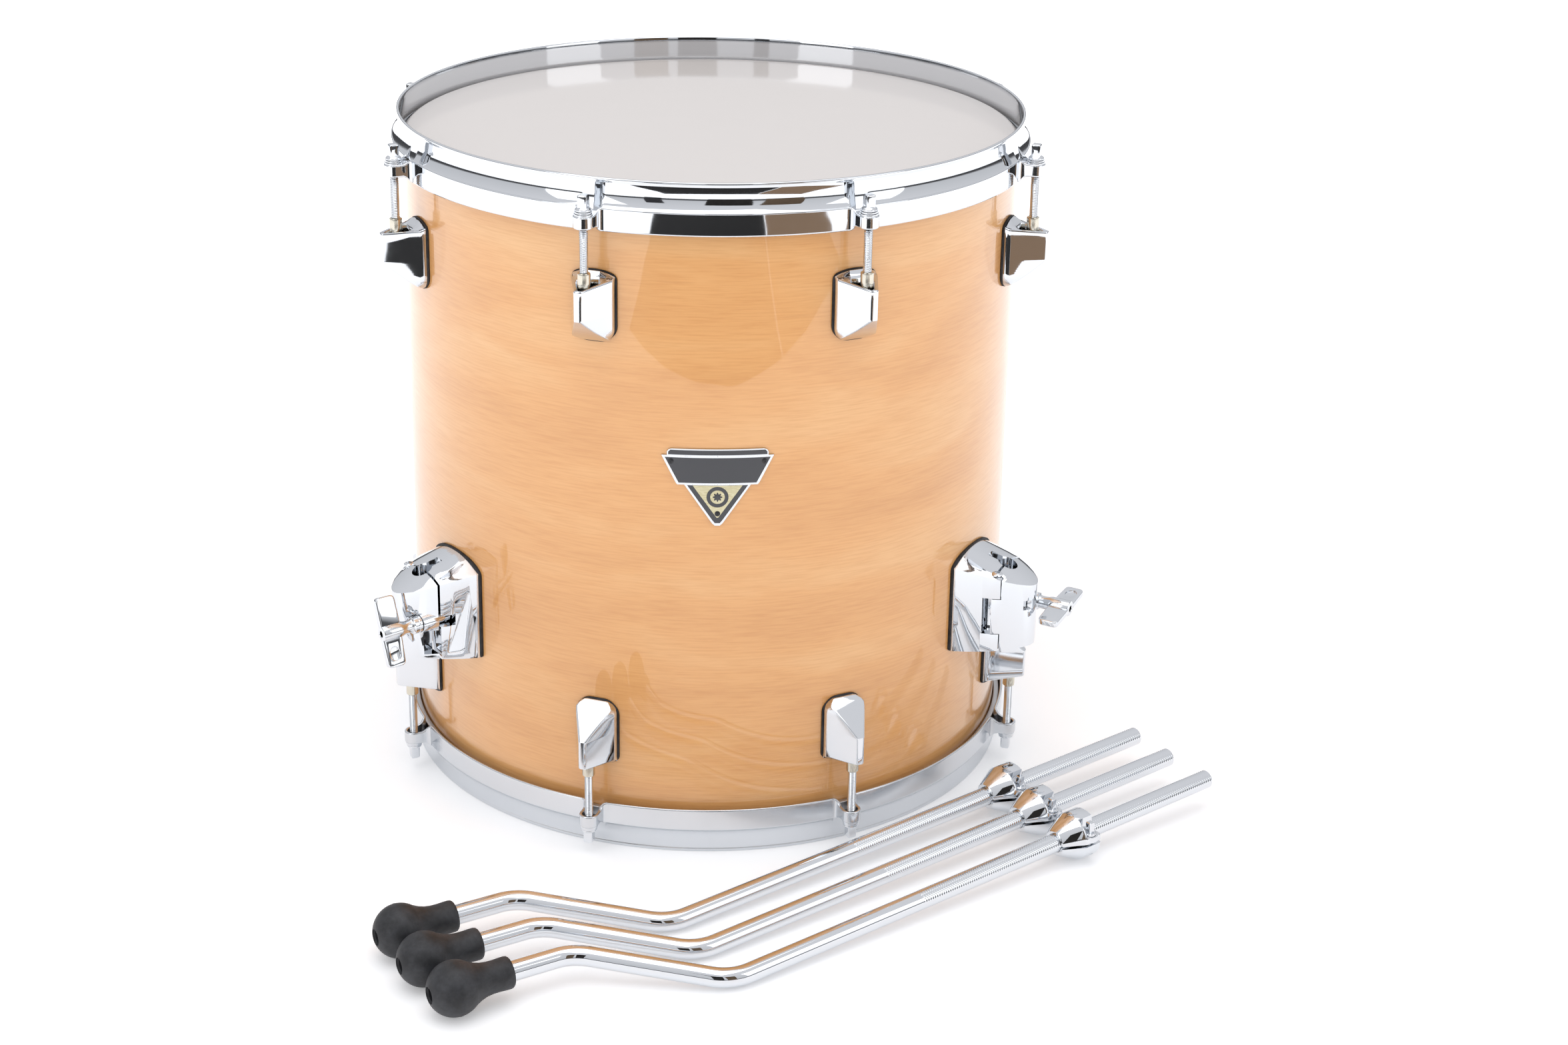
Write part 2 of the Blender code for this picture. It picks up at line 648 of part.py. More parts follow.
def lock_mesh():
    """A memory lock: a cone and a band, slit on the front side, with a hole and a seat for its screw."""
    half = LOCK_LENGTH / 2
    profile = [
        (LOCK_RADIUS - 0.001, half),
        (LOCK_RADIUS, half - 0.001),
        (LOCK_RADIUS, half - LOCK_BAND),
        (LOCK_NECK, -half),
        (LOCK_BORE, -half),
        (LOCK_BORE, half),
    ]
    level = finished(turned(profile, 16, closed=True))
    level.transform(Matrix.Rotation(math.pi / 2, 4, "Y"))
    band = half - LOCK_BAND / 2
    reach = LOCK_RADIUS + 0.005
    slit = box((-reach, -reach, -LOCK_SLIT / 2), (reach, -LOCK_BORE / 2, LOCK_SLIT / 2))
    hole = rod((band, -LOCK_SCREW_OFFSET, -reach), (band, -LOCK_SCREW_OFFSET, reach), LOCK_SCREW_RADIUS + GAP, 12)
    seat = box((band - 0.0040, -reach, 0.0048), (band + 0.0040, -LOCK_SCREW_OFFSET + 0.0036, reach))
    lock = combine(new_object("lock", level), slit, "DIFFERENCE")
    lock = combine(lock, hole, "DIFFERENCE")
    mesh = finished(combine(lock, seat, "DIFFERENCE"))
    mesh.transform(lock_frame())
    return mesh


def lock_screw_mesh():
    """The lock's drum-key screw: flange and square head above the seat, shank through the slit."""
    band = (LOCK_LENGTH - LOCK_BAND) / 2
    seat = 0.0048 + GAP
    profile = [
        (0.0, seat + 0.0014),
        (0.0032, seat + 0.0014),
        (0.0032, seat),
        (LOCK_SCREW_RADIUS, seat),
        (LOCK_SCREW_RADIUS, -0.0085),
        (0.0, -0.0085),
    ]
    half = LOCK_SCREW_HEAD / 2 - 0.0004
    head = box((-half, -half, seat + 0.0006), (half, half, seat + 0.0066))
    mesh = finished(combine(turned(profile, 12, closed=False), head, "UNION"))
    mesh.transform(lock_frame() @ Matrix.Translation((band, -LOCK_SCREW_OFFSET, 0.0)))
    return mesh


def make_ends(chrome, film):
    """Heads, hoops, tension rods and lugs, the lower end turned over from the upper."""
    head, hoop, tension, lug = head_mesh(), hoop_mesh(), tension_rod_mesh(), lug_mesh()
    for end, frame in (("top", Matrix()), ("bottom", turned_over())):
        place(f"{end}_head", head.copy(), film, frame)
        place(f"{end}_hoop", hoop.copy(), chrome, frame)
        for number, azimuth in enumerate(rod_azimuths(), 1):
            seen_from_above = azimuth if end == "top" else 180.0 - azimuth
            at = frame @ radial(seen_from_above)
            place(f"{end}_tension_rod_{number}", tension.copy(), chrome, at, (ROD_CIRCLE, 0.0, HEIGHT))
            place(f"{end}_lug_{number}", lug.copy(), chrome, at)


def make_brackets(chrome):
    """The three hinged leg brackets, each bolt turned as it was left."""
    base, door, bolt = bracket_base_mesh(), bracket_door_mesh(), wing_bolt_mesh()
    hinge = (BRACKET_SPLIT, HINGE_OFFSET, KNUCKLE_BOTTOM)
    bolt_axis = (BOSS_END, BOLT_OFFSET, BOLT_HEIGHT)
    for number, (azimuth, turn) in enumerate(zip(BRACKET_AZIMUTHS, WING_TURNS), 1):
        at = radial(azimuth)
        place(f"bracket_base_{number}", base.copy(), chrome, at)
        place(f"bracket_door_{number}", door.copy(), chrome, at, hinge)
        turned_bolt = bolt.copy()
        about = Matrix.Translation(bolt_axis)
        turned_bolt.transform(about @ Matrix.Rotation(math.radians(turn), 4, "X") @ about.inverted())
        place(f"wing_bolt_{number}", turned_bolt, chrome, at, bolt_axis)


def make_legs(chrome, rubber):
    """The three legs on the floor in front of the drum."""
    screw_axis = lock_frame() @ Vector(((LOCK_LENGTH - LOCK_BAND) / 2, -LOCK_SCREW_OFFSET, 0.0))
    lock_middle = lock_frame() @ Vector((0.0, 0.0, 0.0))
    start = Vector((0.0, 0.0, 0.0))
    meshes = (
        ("leg", leg_mesh(), chrome, start),
        ("leg_foot", foot_mesh(), rubber, start),
        ("memory_lock", lock_mesh(), chrome, lock_middle),
        ("lock_screw", lock_screw_mesh(), chrome, screw_axis),
    )
    for number in range(1, LEG_COUNT + 1):
        frame = leg_frame(FIRST_BENDS[number - 1])
        for name, mesh, material, origin in meshes:
            place(f"{name}_{number}", mesh.copy(), material, frame, origin)


def main():
    global SOLIDS, CUTTERS
    for old in list(bpy.data.objects):
        bpy.data.objects.remove(old)
    SOLIDS = new_collection("floor_tom")
    CUTTERS = new_collection("cutters")
    maple = new_material("lacquered maple", (0.80, 0.48, 0.24), 0.0, 0.15)
    chrome = new_material("chrome plate", (0.80, 0.80, 0.82), 1.0, 0.08)
    film = new_material("clear polyester film", (0.85, 0.83, 0.82), 0.0, 0.10)
    rubber = new_material("black rubber", (0.02, 0.02, 0.022), 0.0, 0.60)
    badge = new_material("etched badge plate", (0.70, 0.70, 0.72), 1.0, 0.25)
    make_shell(maple)
    make_badge(badge)
    make_ends(chrome, film)
    make_brackets(chrome)
    make_legs(chrome, rubber)


main()
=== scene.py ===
"""The looks of a 16 x 16 inch maple floor tom, laid out as a Blender add-on.

Lengths are metres, written in millimetres with MM where that reads better. Each fitting is made in a
fitting frame: X outwards from the drum's axis, Y the way azimuth grows, Z up. Azimuth is counted from the
drum's front (-Y) towards +X. Every finished mesh holds its place, and its object stays at the origin.
"""

import math

import bmesh
import bpy
import numpy as np
from mathutils import Matrix, Vector


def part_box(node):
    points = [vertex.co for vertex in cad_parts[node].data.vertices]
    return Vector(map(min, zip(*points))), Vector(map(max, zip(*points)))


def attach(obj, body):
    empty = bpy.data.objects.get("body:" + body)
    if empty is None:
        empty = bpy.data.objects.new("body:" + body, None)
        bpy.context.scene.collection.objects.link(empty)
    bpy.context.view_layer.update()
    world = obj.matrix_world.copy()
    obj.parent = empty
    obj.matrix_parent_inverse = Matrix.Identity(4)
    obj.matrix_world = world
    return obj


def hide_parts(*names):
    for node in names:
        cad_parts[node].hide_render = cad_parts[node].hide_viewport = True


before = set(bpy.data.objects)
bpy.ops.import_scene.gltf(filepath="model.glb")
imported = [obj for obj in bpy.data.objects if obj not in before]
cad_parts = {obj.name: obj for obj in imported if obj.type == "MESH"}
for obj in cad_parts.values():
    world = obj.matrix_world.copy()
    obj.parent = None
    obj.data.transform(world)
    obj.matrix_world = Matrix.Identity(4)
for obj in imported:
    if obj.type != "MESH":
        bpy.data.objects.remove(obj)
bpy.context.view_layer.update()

bl_info = {
    "name": "Floor tom looks",
    "version": (1, 0, 0),
    "blender": (4, 5, 0),
    "location": "View3D > Sidebar > Floor tom",
    "description": "Fine surfaces, finishes and a plain studio for a maple floor tom",
    "category": "Object",
}

MM = 0.001
SHELL_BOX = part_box("shell")
AXIS = Vector(((SHELL_BOX[0].x + SHELL_BOX[1].x) / 2, (SHELL_BOX[0].y + SHELL_BOX[1].y) / 2, 0.0))
SHELL_RADIUS = (SHELL_BOX[1].x - SHELL_BOX[0].x) / 2
SHELL_LOW = SHELL_BOX[0].z
SHELL_HIGH = SHELL_BOX[1].z
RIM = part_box("top_hoop")[1].z
SHELL_WALL = 6.0 * MM
EDGE_INSET = 3.0 * MM
EDGE_DROP = 3.5 * MM

# Hoops and tension rods, as drops below the rim
ROD_COUNT = 8
ROD_CIRCLE = 217.0 * MM
COLLAR_BORE = 202.0 * MM
BAND_RADIUS = 207.8 * MM
BAND_WALL = 1.9 * MM
HOOP_HEIGHT = 31.4 * MM
EAR_RADIUS = 6.2 * MM
EAR_DIP = 2.6 * MM
EAR_LIFT = -1.5     # the band's lower edge over an ear, in shares of the dip
EAR_FILLET = 3.0 * MM
ROD_RADIUS = 2.75 * MM
THREAD_PITCH = 25.4 * MM / 24
THREAD_DEPTH = 0.42 * MM
FLANGE_DROP = 15.4 * MM
EAR_DROP = 19.5 * MM
KEY_TOP = 7.3 * MM
ROD_END = 69.4 * MM

# Lugs
LUG_BACK = SHELL_RADIUS + 1.5 * MM
LUG_NOSE = 227.5 * MM
LUG_HALF = 13.65 * MM
LUG_FLANGE = 3.0 * MM
LUG_TOP = 57.0 * MM
LUG_NOSE_DROP = 6.4 * MM
LUG_SHOULDER_DROP = 3.0 * MM
LUG_NOSE_END = 82.0 * MM
LUG_TAIL = 100.4 * MM

# Leg brackets: stations of radius, half width, ridge and side wall top, in millimetres
BRACKETS = (-56.0, 56.0, 180.0)
BRACKET_STATIONS = np.array([
    (196.0, 26.8, 173.0, 163.6), (203.0, 26.2, 171.5, 163.3), (212.0, 24.8, 168.6, 162.4),
    (220.0, 22.8, 166.5, 161.3), (227.5, 20.3, 164.3, 160.0), (234.0, 16.8, 161.5, 158.0),
    (240.0, 12.5, 158.5, 156.3), (244.5, 8.0, 156.0, 155.0), (246.0, 6.2, 155.2, 154.6),
    (247.4, 3.4, 154.4, 154.1), (248.0, 0.5, 154.0, 153.9)])
BRACKET_FOOT = ((203.0, 105.2), (248.0, 112.0))
SPLIT = 227.0 * MM
SPLIT_GAP = 1.4 * MM
BORE = 6.4 * MM
KEY_SLOT = (214.0 * MM, 3.4 * MM)
HINGE_AT = -16.0 * MM
HINGE_OUT = 231.0 * MM
WINDOW = (121.0 * MM, 146.0 * MM)
BOLT_AT = (15.0 * MM, 134.9 * MM)
WING_TURNS = (18.0, 98.0, 60.0)

# Legs
LEG_RADIUS = 6.0 * MM
LEG_UPPER = 383.0 * MM
LEG_MIDDLE = 93.7 * MM
LEG_LOWER = 78.0 * MM
LEG_KNURL_FROM = 138.3 * MM
LEG_BENDS = (42.1, 6.6)
LEG_BEND_RADIUS = 32.0 * MM
LEG_BEARING = 32.3
LEG_TILT = 2.07
LEG_ROLL = 12.45
FIRST_BENDS = ((-35.4, -299.0), (-19.5, -329.9), (-0.6, -361.0))
LOCK_AT = 261.5 * MM


# ---------------------------------------------------------------- frames

def radial(azimuth):
    """The fitting frame at an azimuth, in the row's frame."""
    return Matrix.Translation(AXIS) @ Matrix.Rotation(math.radians(azimuth - 90.0), 4, "Z")


def end_frame(end, azimuth):
    """The fitting frame at the upper end, or the same turned over for the lower end."""
    if end == "top":
        return radial(azimuth)
    over = Matrix.Translation((0.0, 0.0, RIM)) @ Matrix.Rotation(math.pi, 4, "X")
    spin = Matrix.Rotation(math.radians(180.0 - azimuth - 90.0), 4, "Z")
    return Matrix.Translation(AXIS) @ over @ spin


def rod_azimuths():
    """Azimuths of the tension rods and lugs, from the front left round to the back."""
    return [22.5 - 90.0 + i * 360.0 / ROD_COUNT for i in range(ROD_COUNT)]


def leg_frame(number):
    """A lying leg's frame: origin at its first bend, X to the upper end, XY the plane of its bends."""
    x, y = FIRST_BENDS[number - 1]
    place = Matrix.Translation(AXIS + Vector((x * MM, y * MM, LEG_RADIUS + 0.3 * MM)))
    bearing = Matrix.Rotation(math.radians(LEG_BEARING), 4, "Z")
    tilt = Matrix.Rotation(-math.radians(LEG_TILT), 4, "Y")
    return place @ bearing @ tilt @ Matrix.Rotation(math.radians(LEG_ROLL), 4, "X")


# ---------------------------------------------------------------- surfaces

def surface(points, ring=True, loop=False, uv=None):
    """A mesh over a grid of points, with rows round a ring and columns along a profile.

    ring closes the rows and loop closes the columns; a ring that isn't looped gets its two ends capped.
    uv is (u, v) in metres at the grid's lines, with one more line than points where it closes.
    """
    rows, columns = points.shape[:2]
    i, j = np.meshgrid(np.arange(rows if ring else rows - 1),
                       np.arange(columns if loop else columns - 1), indexing="ij")
    i, j = i.ravel(), j.ravel()
    corners_i = np.stack([i, i + 1, i + 1, i], axis=1)
    corners_j = np.stack([j, j, j + 1, j + 1], axis=1)
    quads = (corners_i % rows) * columns + corners_j % columns
    faces = quads.tolist()
    if ring and not loop:
        line = np.arange(rows) * columns
        faces.append(line[::-1].tolist())
        faces.append((line + columns - 1).tolist())
    mesh = bpy.data.meshes.new("surface")
    mesh.from_pydata(points.reshape(-1, 3).tolist(), [], faces)
    if uv is not None:
        u, v = (np.asarray(line, float) for line in uv)
        flat = np.zeros((len(mesh.loops), 2), np.float32)
        flat[:quads.size, 0] = u[corners_i].ravel()
        flat[:quads.size, 1] = v[corners_j].ravel()
        mesh.uv_layers.new(name="UVMap").data.foreach_set("uv", flat.ravel())
    if signed_volume(mesh) < 0:
        mesh.flip_normals()
    return mesh


def signed_volume(mesh):
    """Six times the volume that a mesh encloses, negative where its faces point inwards."""
    mesh.calc_loop_triangles()
    corners = np.empty(len(mesh.loop_triangles) * 3, np.int32)
    mesh.loop_triangles.foreach_get("vertices", corners)
    places = np.empty(len(mesh.vertices) * 3)
    mesh.vertices.foreach_get("co", places)
    a, b, c = places.reshape(-1, 3)[corners.reshape(-1, 3)].transpose(1, 0, 2)
    return float(np.einsum("ij,ij->", a, np.cross(b, c)))


def revolve(profile, steps):
    """A profile of (radius, height) carried round Z: x = r cos a, y = r sin a."""
    profile = np.asarray(profile, float)
    angle = np.linspace(0.0, 2 * np.pi, steps, endpoint=False)[:, None]
    r, z = profile[:, 0][None], profile[:, 1][None]
    return np.stack([r * np.cos(angle), r * np.sin(angle), z + 0 * angle], axis=2)


def softened(corners, radii, steps=4, closed=True):
    """An outline whose corners are rounded by parabolas tangent to both sides.

    corners has shape (..., k, 2). Each corner becomes steps + 1 points
    (1-s)^2 start + 2s(1-s) corner + s^2 end, with start and end a radius back along each side, or
    45 % of a side where that is shorter.
    """
    corners = np.asarray(corners, float)
    radii = np.broadcast_to(np.asarray(radii, float), corners.shape[:-1])[..., None]
    back = np.roll(corners, 1, axis=-2) - corners
    ahead = np.roll(corners, -1, axis=-2) - corners
    back_length = np.linalg.norm(back, axis=-1, keepdims=True) + 1e-12
    ahead_length = np.linalg.norm(ahead, axis=-1, keepdims=True) + 1e-12
    reach = np.minimum(radii, 0.45 * np.minimum(back_length, ahead_length))
    start = corners + back / back_length * reach
    end = corners + ahead / ahead_length * reach
    s = np.linspace(0.0, 1.0, steps + 1)[:, None]
    start, middle, end = (points[..., None, :] for points in (start, corners, end))
    arcs = (1 - s) ** 2 * start + 2 * s * (1 - s) * middle + s ** 2 * end
    if not closed:
        arcs[..., 0, :, :] = corners[..., :1, :]
        arcs[..., -1, :, :] = corners[..., -1:, :]
    return arcs.reshape(*arcs.shape[:-3], -1, 2)


def inset(outline, distance):
    """A closed outline, counter-clockwise, moved inwards by a distance along its mean normals."""
    along = np.roll(outline, -1, axis=0) - np.roll(outline, 1, axis=0)
    along /= np.linalg.norm(along, axis=1, keepdims=True) + 1e-12
    return outline + distance * np.stack([-along[:, 1], along[:, 0]], axis=1)


def slab(outline, low, high, edge, rounds=4):
    """A closed outline in XY made a plate from low to high, its edges rounded: inset e(1 - cos a)."""
    angle = np.linspace(0.0, np.pi / 2, rounds)
    drop = edge * (1 - np.sin(angle))
    pull = edge * (1 - np.cos(angle))
    levels = [(p, low + edge * (1 - math.sin(a))) for p, a in zip(pull[::-1], angle[::-1])]
    levels += [(p, high - d) for p, d in zip(pull, drop)]
    rings = []
    for pulled, height in levels:
        flat = inset(outline, pulled)
        rings.append(np.column_stack([flat, np.full(len(flat), height)]))
    return np.stack(rings, axis=1)


def turned_points(points, matrix):
    """A grid of points taken through a matrix."""
    m = np.array(matrix)
    return points @ m[:3, :3].T + m[:3, 3]


def joined(*meshes):
    """Several closed bodies as one mesh, with their material numbers kept."""
    form = bmesh.new()
    for mesh in meshes:
        form.from_mesh(mesh)
    whole = bpy.data.meshes.new("joined")
    form.to_mesh(whole)
    form.free()
    return whole


def with_modifiers(mesh, build):
    """The mesh after modifiers that build adds to a temporary object."""
    made = bpy.data.objects.new("work", mesh)
    bpy.context.scene.collection.objects.link(made)
    build(made)
    bpy.context.view_layer.update()
    result = bpy.data.meshes.new_from_object(made.evaluated_get(bpy.context.evaluated_depsgraph_get()))
    bpy.data.objects.remove(made)
    return result


def combined(mesh, tool, operation="DIFFERENCE"):
    """A mesh cut or joined with another."""
    cutter = bpy.data.objects.new("tool", tool)
    bpy.context.scene.collection.objects.link(cutter)

    def build(made):
        change = made.modifiers.new("Boolean", "BOOLEAN")
        change.operation = operation
        change.object = cutter

    result = with_modifiers(mesh, build)
    bpy.data.objects.remove(cutter)
    return result


def bevelled(mesh, width, segments=2, angle=32.0):
    """A mesh with every edge sharper than the angle rounded over."""
    form = bmesh.new()
    form.from_mesh(mesh)
    bmesh.ops.remove_doubles(form, verts=form.verts, dist=0.002 * MM)
    bmesh.ops.dissolve_limit(form, angle_limit=math.radians(0.4), verts=form.verts, edges=form.edges)
    form.to_mesh(mesh)
    form.free()

    def build(made):
        bevel = made.modifiers.new("Bevel", "BEVEL")
        bevel.width = width
        bevel.segments = segments
        bevel.limit_method = "ANGLE"
        bevel.angle_limit = math.radians(angle)
        bevel.use_clamp_overlap = True

    return with_modifiers(mesh, build)


def block(low, high):
    """A plain box between two corners, used as a cutter."""
    low, high = Vector(low), Vector(high)
    outline = np.array([(low.x, low.y), (high.x, low.y), (high.x, high.y), (low.x, high.y)])
    rings = [np.column_stack([outline, np.full(4, z)]) for z in (low.z, high.z)]
    return surface(np.stack(rings, axis=1))


def bar(start, end, radius, steps=32):
    """A plain round bar between two points."""
    start, end = Vector(start), Vector(end)
    turn = (end - start).to_track_quat("Z", "Y").to_matrix().to_4x4()
    points = revolve([(radius, 0.0), (radius, (end - start).length)], steps)
    return surface(turned_points(points, Matrix.Translation(start) @ turn))


def piece(name, mesh, materials, body, place=None, replaces=(), sharp=32.0):
    """A finished piece at its place, riding on its body and standing for its CAD nodes."""
    if place is not None:
        mesh.transform(place)
    mesh.materials.clear()
    for material in materials if isinstance(materials, (list, tuple)) else [materials]:
        mesh.materials.append(material)
    mesh.shade_smooth()
    mesh.set_sharp_from_angle(angle=math.radians(sharp))
    mesh.name = name
    made = bpy.data.objects.new(name, mesh)
    bpy.context.scene.collection.objects.link(made)
    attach(made, body)
    if replaces:
        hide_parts(*replaces)
    return made


# ---------------------------------------------------------------- materials

def linear(colour):
    """An sRGB hex colour such as #E8B98A as linear red, green and blue."""
    values = [int(colour.lstrip("#")[i:i + 2], 16) / 255.0 for i in (0, 2, 4)]
    return tuple(v / 12.92 if v <= 0.04045 else ((v + 0.055) / 1.055) ** 2.4 for v in values)


def rgba(colour, alpha=1.0):
    """An sRGB hex colour as a linear colour with alpha."""
    return (*linear(colour), alpha)


def node(material, kind, inputs=None, **settings):
    """One shader node: settings are its properties, inputs its values or the sockets linked to it."""
    tree = material.node_tree
    made = tree.nodes.new(kind)
    for name, value in settings.items():
        setattr(made, name, value)
    for name, value in (inputs or {}).items():
        if isinstance(value, bpy.types.NodeSocket):
            tree.links.new(value, made.inputs[name])
        else:
            made.inputs[name].default_value = value
    return made


def finish_named(name, **values):
    """A new material with its Principled shader set, or the one of that name made before."""
    known = bpy.data.materials.get(name)
    if known is not None:
        return known, None
    material = bpy.data.materials.new(name)
    material.use_nodes = True
    shader = material.node_tree.nodes["Principled BSDF"]
    for socket, value in values.items():
        shader.inputs[socket.replace("_", " ")].default_value = value
    return material, shader


def ramp(material, factor, stops):
    """A colour ramp over a factor, with stops of (position, hex colour)."""
    made = node(material, "ShaderNodeValToRGB", {"Fac": factor})
    elements = made.color_ramp.elements
    while len(elements) < len(stops):
        elements.new(0.5)
    for element, (position, colour) in zip(elements, stops):
        element.position = position
        element.color = rgba(colour)
    return made.outputs["Color"]


def lacquered_maple():
    """Rotary-cut maple veneer under clear gloss lacquer: pale honey ground, fine grain that runs round
    the shell, faint broad figure, a few short reddish mineral streaks, and a hard bright top coat."""
    look = bpy.context.scene.tom_shell
    material, shader = finish_named(
        "lacquered maple veneer", Roughness=0.32, Coat_Weight=1.0, Coat_Roughness=0.02, Coat_IOR=1.5)
    if shader is None:
        return material
    link = material.node_tree.links.new
    place = node(material, "ShaderNodeUVMap", uv_map="UVMap").outputs["UV"]
    # Grain: fine lines 1 mm apart, some 25 mm long round the shell
    fine = node(material, "ShaderNodeMapping", {"Vector": place, "Scale": (40.0, 900.0, 1.0)})
    grain = node(material, "ShaderNodeTexNoise",
                 {"Vector": fine.outputs[0], "Scale": 1.0, "Detail": 3.0, "Roughness": 0.6},
                 noise_dimensions="2D")
    # Figure: soft clouds 150 mm long and about 40 mm high
    broad = node(material, "ShaderNodeMapping", {"Vector": place, "Scale": (6.5, 24.0, 1.0)})
    figure = node(material, "ShaderNodeTexNoise",
                  {"Vector": broad.outputs[0], "Scale": 1.0, "Detail": 3.0, "Roughness": 0.5,
                   "Distortion": 0.4},
                  noise_dimensions="2D")
    # Mineral streaks: thin, long and rare
    thin = node(material, "ShaderNodeMapping", {"Vector": place, "Scale": (12.0, 170.0, 1.0),
                                                "Location": (3.7, 1.3, 0.0)})
    streak = node(material, "ShaderNodeTexNoise",
                  {"Vector": thin.outputs[0], "Scale": 1.0, "Detail": 2.0, "Roughness": 0.45},
                  noise_dimensions="2D")
    ground = ramp(material, figure.outputs["Fac"],
                  [(0.25, "#E0A364"), (0.50, look.colour_hex), (0.78, "#EDB87C")])
    lines = ramp(material, grain.outputs["Fac"], [(0.30, "#EBDAC6"), (0.60, "#FFFFFF")])
    mixed = node(material, "ShaderNodeMix", data_type="RGBA", blend_type="MULTIPLY")
    mixed.inputs["Factor"].default_value = 0.45
    link(ground, mixed.inputs[6])
    link(lines, mixed.inputs[7])
    rare = ramp(material, streak.outputs["Fac"], [(0.76, "#000000"), (0.90, "#9A9A9A")])
    stained = node(material, "ShaderNodeMix", data_type="RGBA")
    stained.inputs[7].default_value = rgba("#C98A55")
    link(rare, stained.inputs["Factor"])
    link(mixed.outputs[2], stained.inputs[6])
    link(stained.outputs[2], shader.inputs["Base Color"])
    # Orange peel: the lacquer's slow ripple, about 25 mm from crest to crest
    peel = node(material, "ShaderNodeMapping", {"Vector": place, "Scale": (26.0, 20.0, 1.0)})
    wave = node(material, "ShaderNodeTexNoise", {"Vector": peel.outputs[0], "Scale": 1.0, "Detail": 1.5},
                noise_dimensions="2D")
    bump = node(material, "ShaderNodeBump", {"Height": wave.outputs["Fac"], "Strength": 0.10,
                                             "Distance": 0.8 * MM})
    link(bump.outputs["Normal"], shader.inputs["Coat Normal"])
    return material


def raw_maple():
    """Sanded maple ply inside the shell and on its bearing edges: matte, with fine grain in thin bands that run
    round the shell.
    """
    material, shader = finish_named("sanded maple ply", Roughness=0.62)
    if shader is None:
        return material
    link = material.node_tree.links.new
    place = node(material, "ShaderNodeTexCoord").outputs["Object"]
    stretched = node(material, "ShaderNodeMapping", {"Vector": place, "Scale": (12.0, 12.0, 300.0)})
    grain = node(material, "ShaderNodeTexNoise",
                 {"Vector": stretched.outputs[0], "Scale": 1.0, "Detail": 4.0})
    colour = ramp(material, grain.outputs["Fac"], [(0.3, "#B98A5E"), (0.5, "#CFA377"), (0.75, "#DDB68B")])
    link(colour, shader.inputs["Base Color"])
    bump = node(material, "ShaderNodeBump", {"Height": grain.outputs["Fac"], "Strength": 0.15,
                                             "Distance": 0.2 * MM})
    link(bump.outputs["Normal"], shader.inputs["Normal"])
    return material


def plated(name, colour, roughness, smudge, ripple, ripple_size):
    """A plated metal: its roughness varies by smudge, and its surface ripples as castings do."""
    material, shader = finish_named(name, Base_Color=rgba(colour), Metallic=1.0, Roughness=roughness)
    if shader is None:
        return material
    link = material.node_tree.links.new
    place = node(material, "ShaderNodeTexCoord").outputs["Object"]
    haze = node(material, "ShaderNodeTexNoise",
                {"Vector": place, "Scale": 60.0, "Detail": 5.0, "Roughness": 0.65})
    spread = node(material, "ShaderNodeMapRange",
                  {"Value": haze.outputs["Fac"], "From Min": 0.3, "From Max": 0.75,
                   "To Min": roughness, "To Max": roughness + smudge})
    link(spread.outputs[0], shader.inputs["Roughness"])
    wave = node(material, "ShaderNodeTexNoise",
                {"Vector": place, "Scale": 1.0 / ripple_size, "Detail": 1.0})
    bump = node(material, "ShaderNodeBump",
                {"Height": wave.outputs["Fac"], "Strength": 0.6, "Distance": ripple})
    link(bump.outputs["Normal"], shader.inputs["Normal"])
    return material


def polished_chrome():
    """Bright chrome on zinc castings and pressed steel: a near mirror, a little wavy."""
    return plated("polished chrome plate", "#DCDFE3", 0.025, 0.035, 0.05 * MM, 18 * MM)


def satin_chrome():
    """Chrome of the lower hoop, dulled by handling: blurred reflections with light marks."""
    return plated("handled chrome plate", "#D3D6DA", 0.13, 0.14, 0.05 * MM, 25 * MM)


def knurled_chrome():
    """Chrome over knurling: bright flanks that scatter into a silvery sheen."""
    return plated("knurled chrome steel", "#B5B8BC", 0.42, 0.10, 0.02 * MM, 5 * MM)


def zinc_steel():
    """Zinc-plated threaded steel of the tension rods: grey and half dull."""
    return plated("zinc plated thread", "#75736F", 0.36, 0.15, 0.02 * MM, 4 * MM)


def nickel_brass():
    """Nickel over turned brass, of the swivel nuts: warm silver."""
    return plated("nickel plated brass", "#D2CDBF", 0.16, 0.12, 0.02 * MM, 4 * MM)


def raw_aluminium():
    """Rolled aluminium of the flesh hoops."""
    return plated("rolled aluminium", "#C2C3C5", 0.30, 0.15, 0.03 * MM, 10 * MM)


def head_film():
    """Clear polyester film: a smooth bright surface over a faint warm haze, taut but not quite flat."""
    look = bpy.context.scene.tom_heads
    material, shader = finish_named(
        "clear polyester film", Base_Color=rgba("#E5DFDB"), Roughness=0.10, IOR=1.64, Alpha=look.haze)
    if shader is None:
        return material
    link = material.node_tree.links.new
    place = node(material, "ShaderNodeTexCoord").outputs["Object"]
    wave = node(material, "ShaderNodeTexNoise", {"Vector": place, "Scale": 22.0, "Detail": 1.0})
    bump = node(material, "ShaderNodeBump", {"Height": wave.outputs["Fac"], "Strength": 0.25,
                                             "Distance": 0.4 * MM})
    link(bump.outputs["Normal"], shader.inputs["Normal"])
    return material


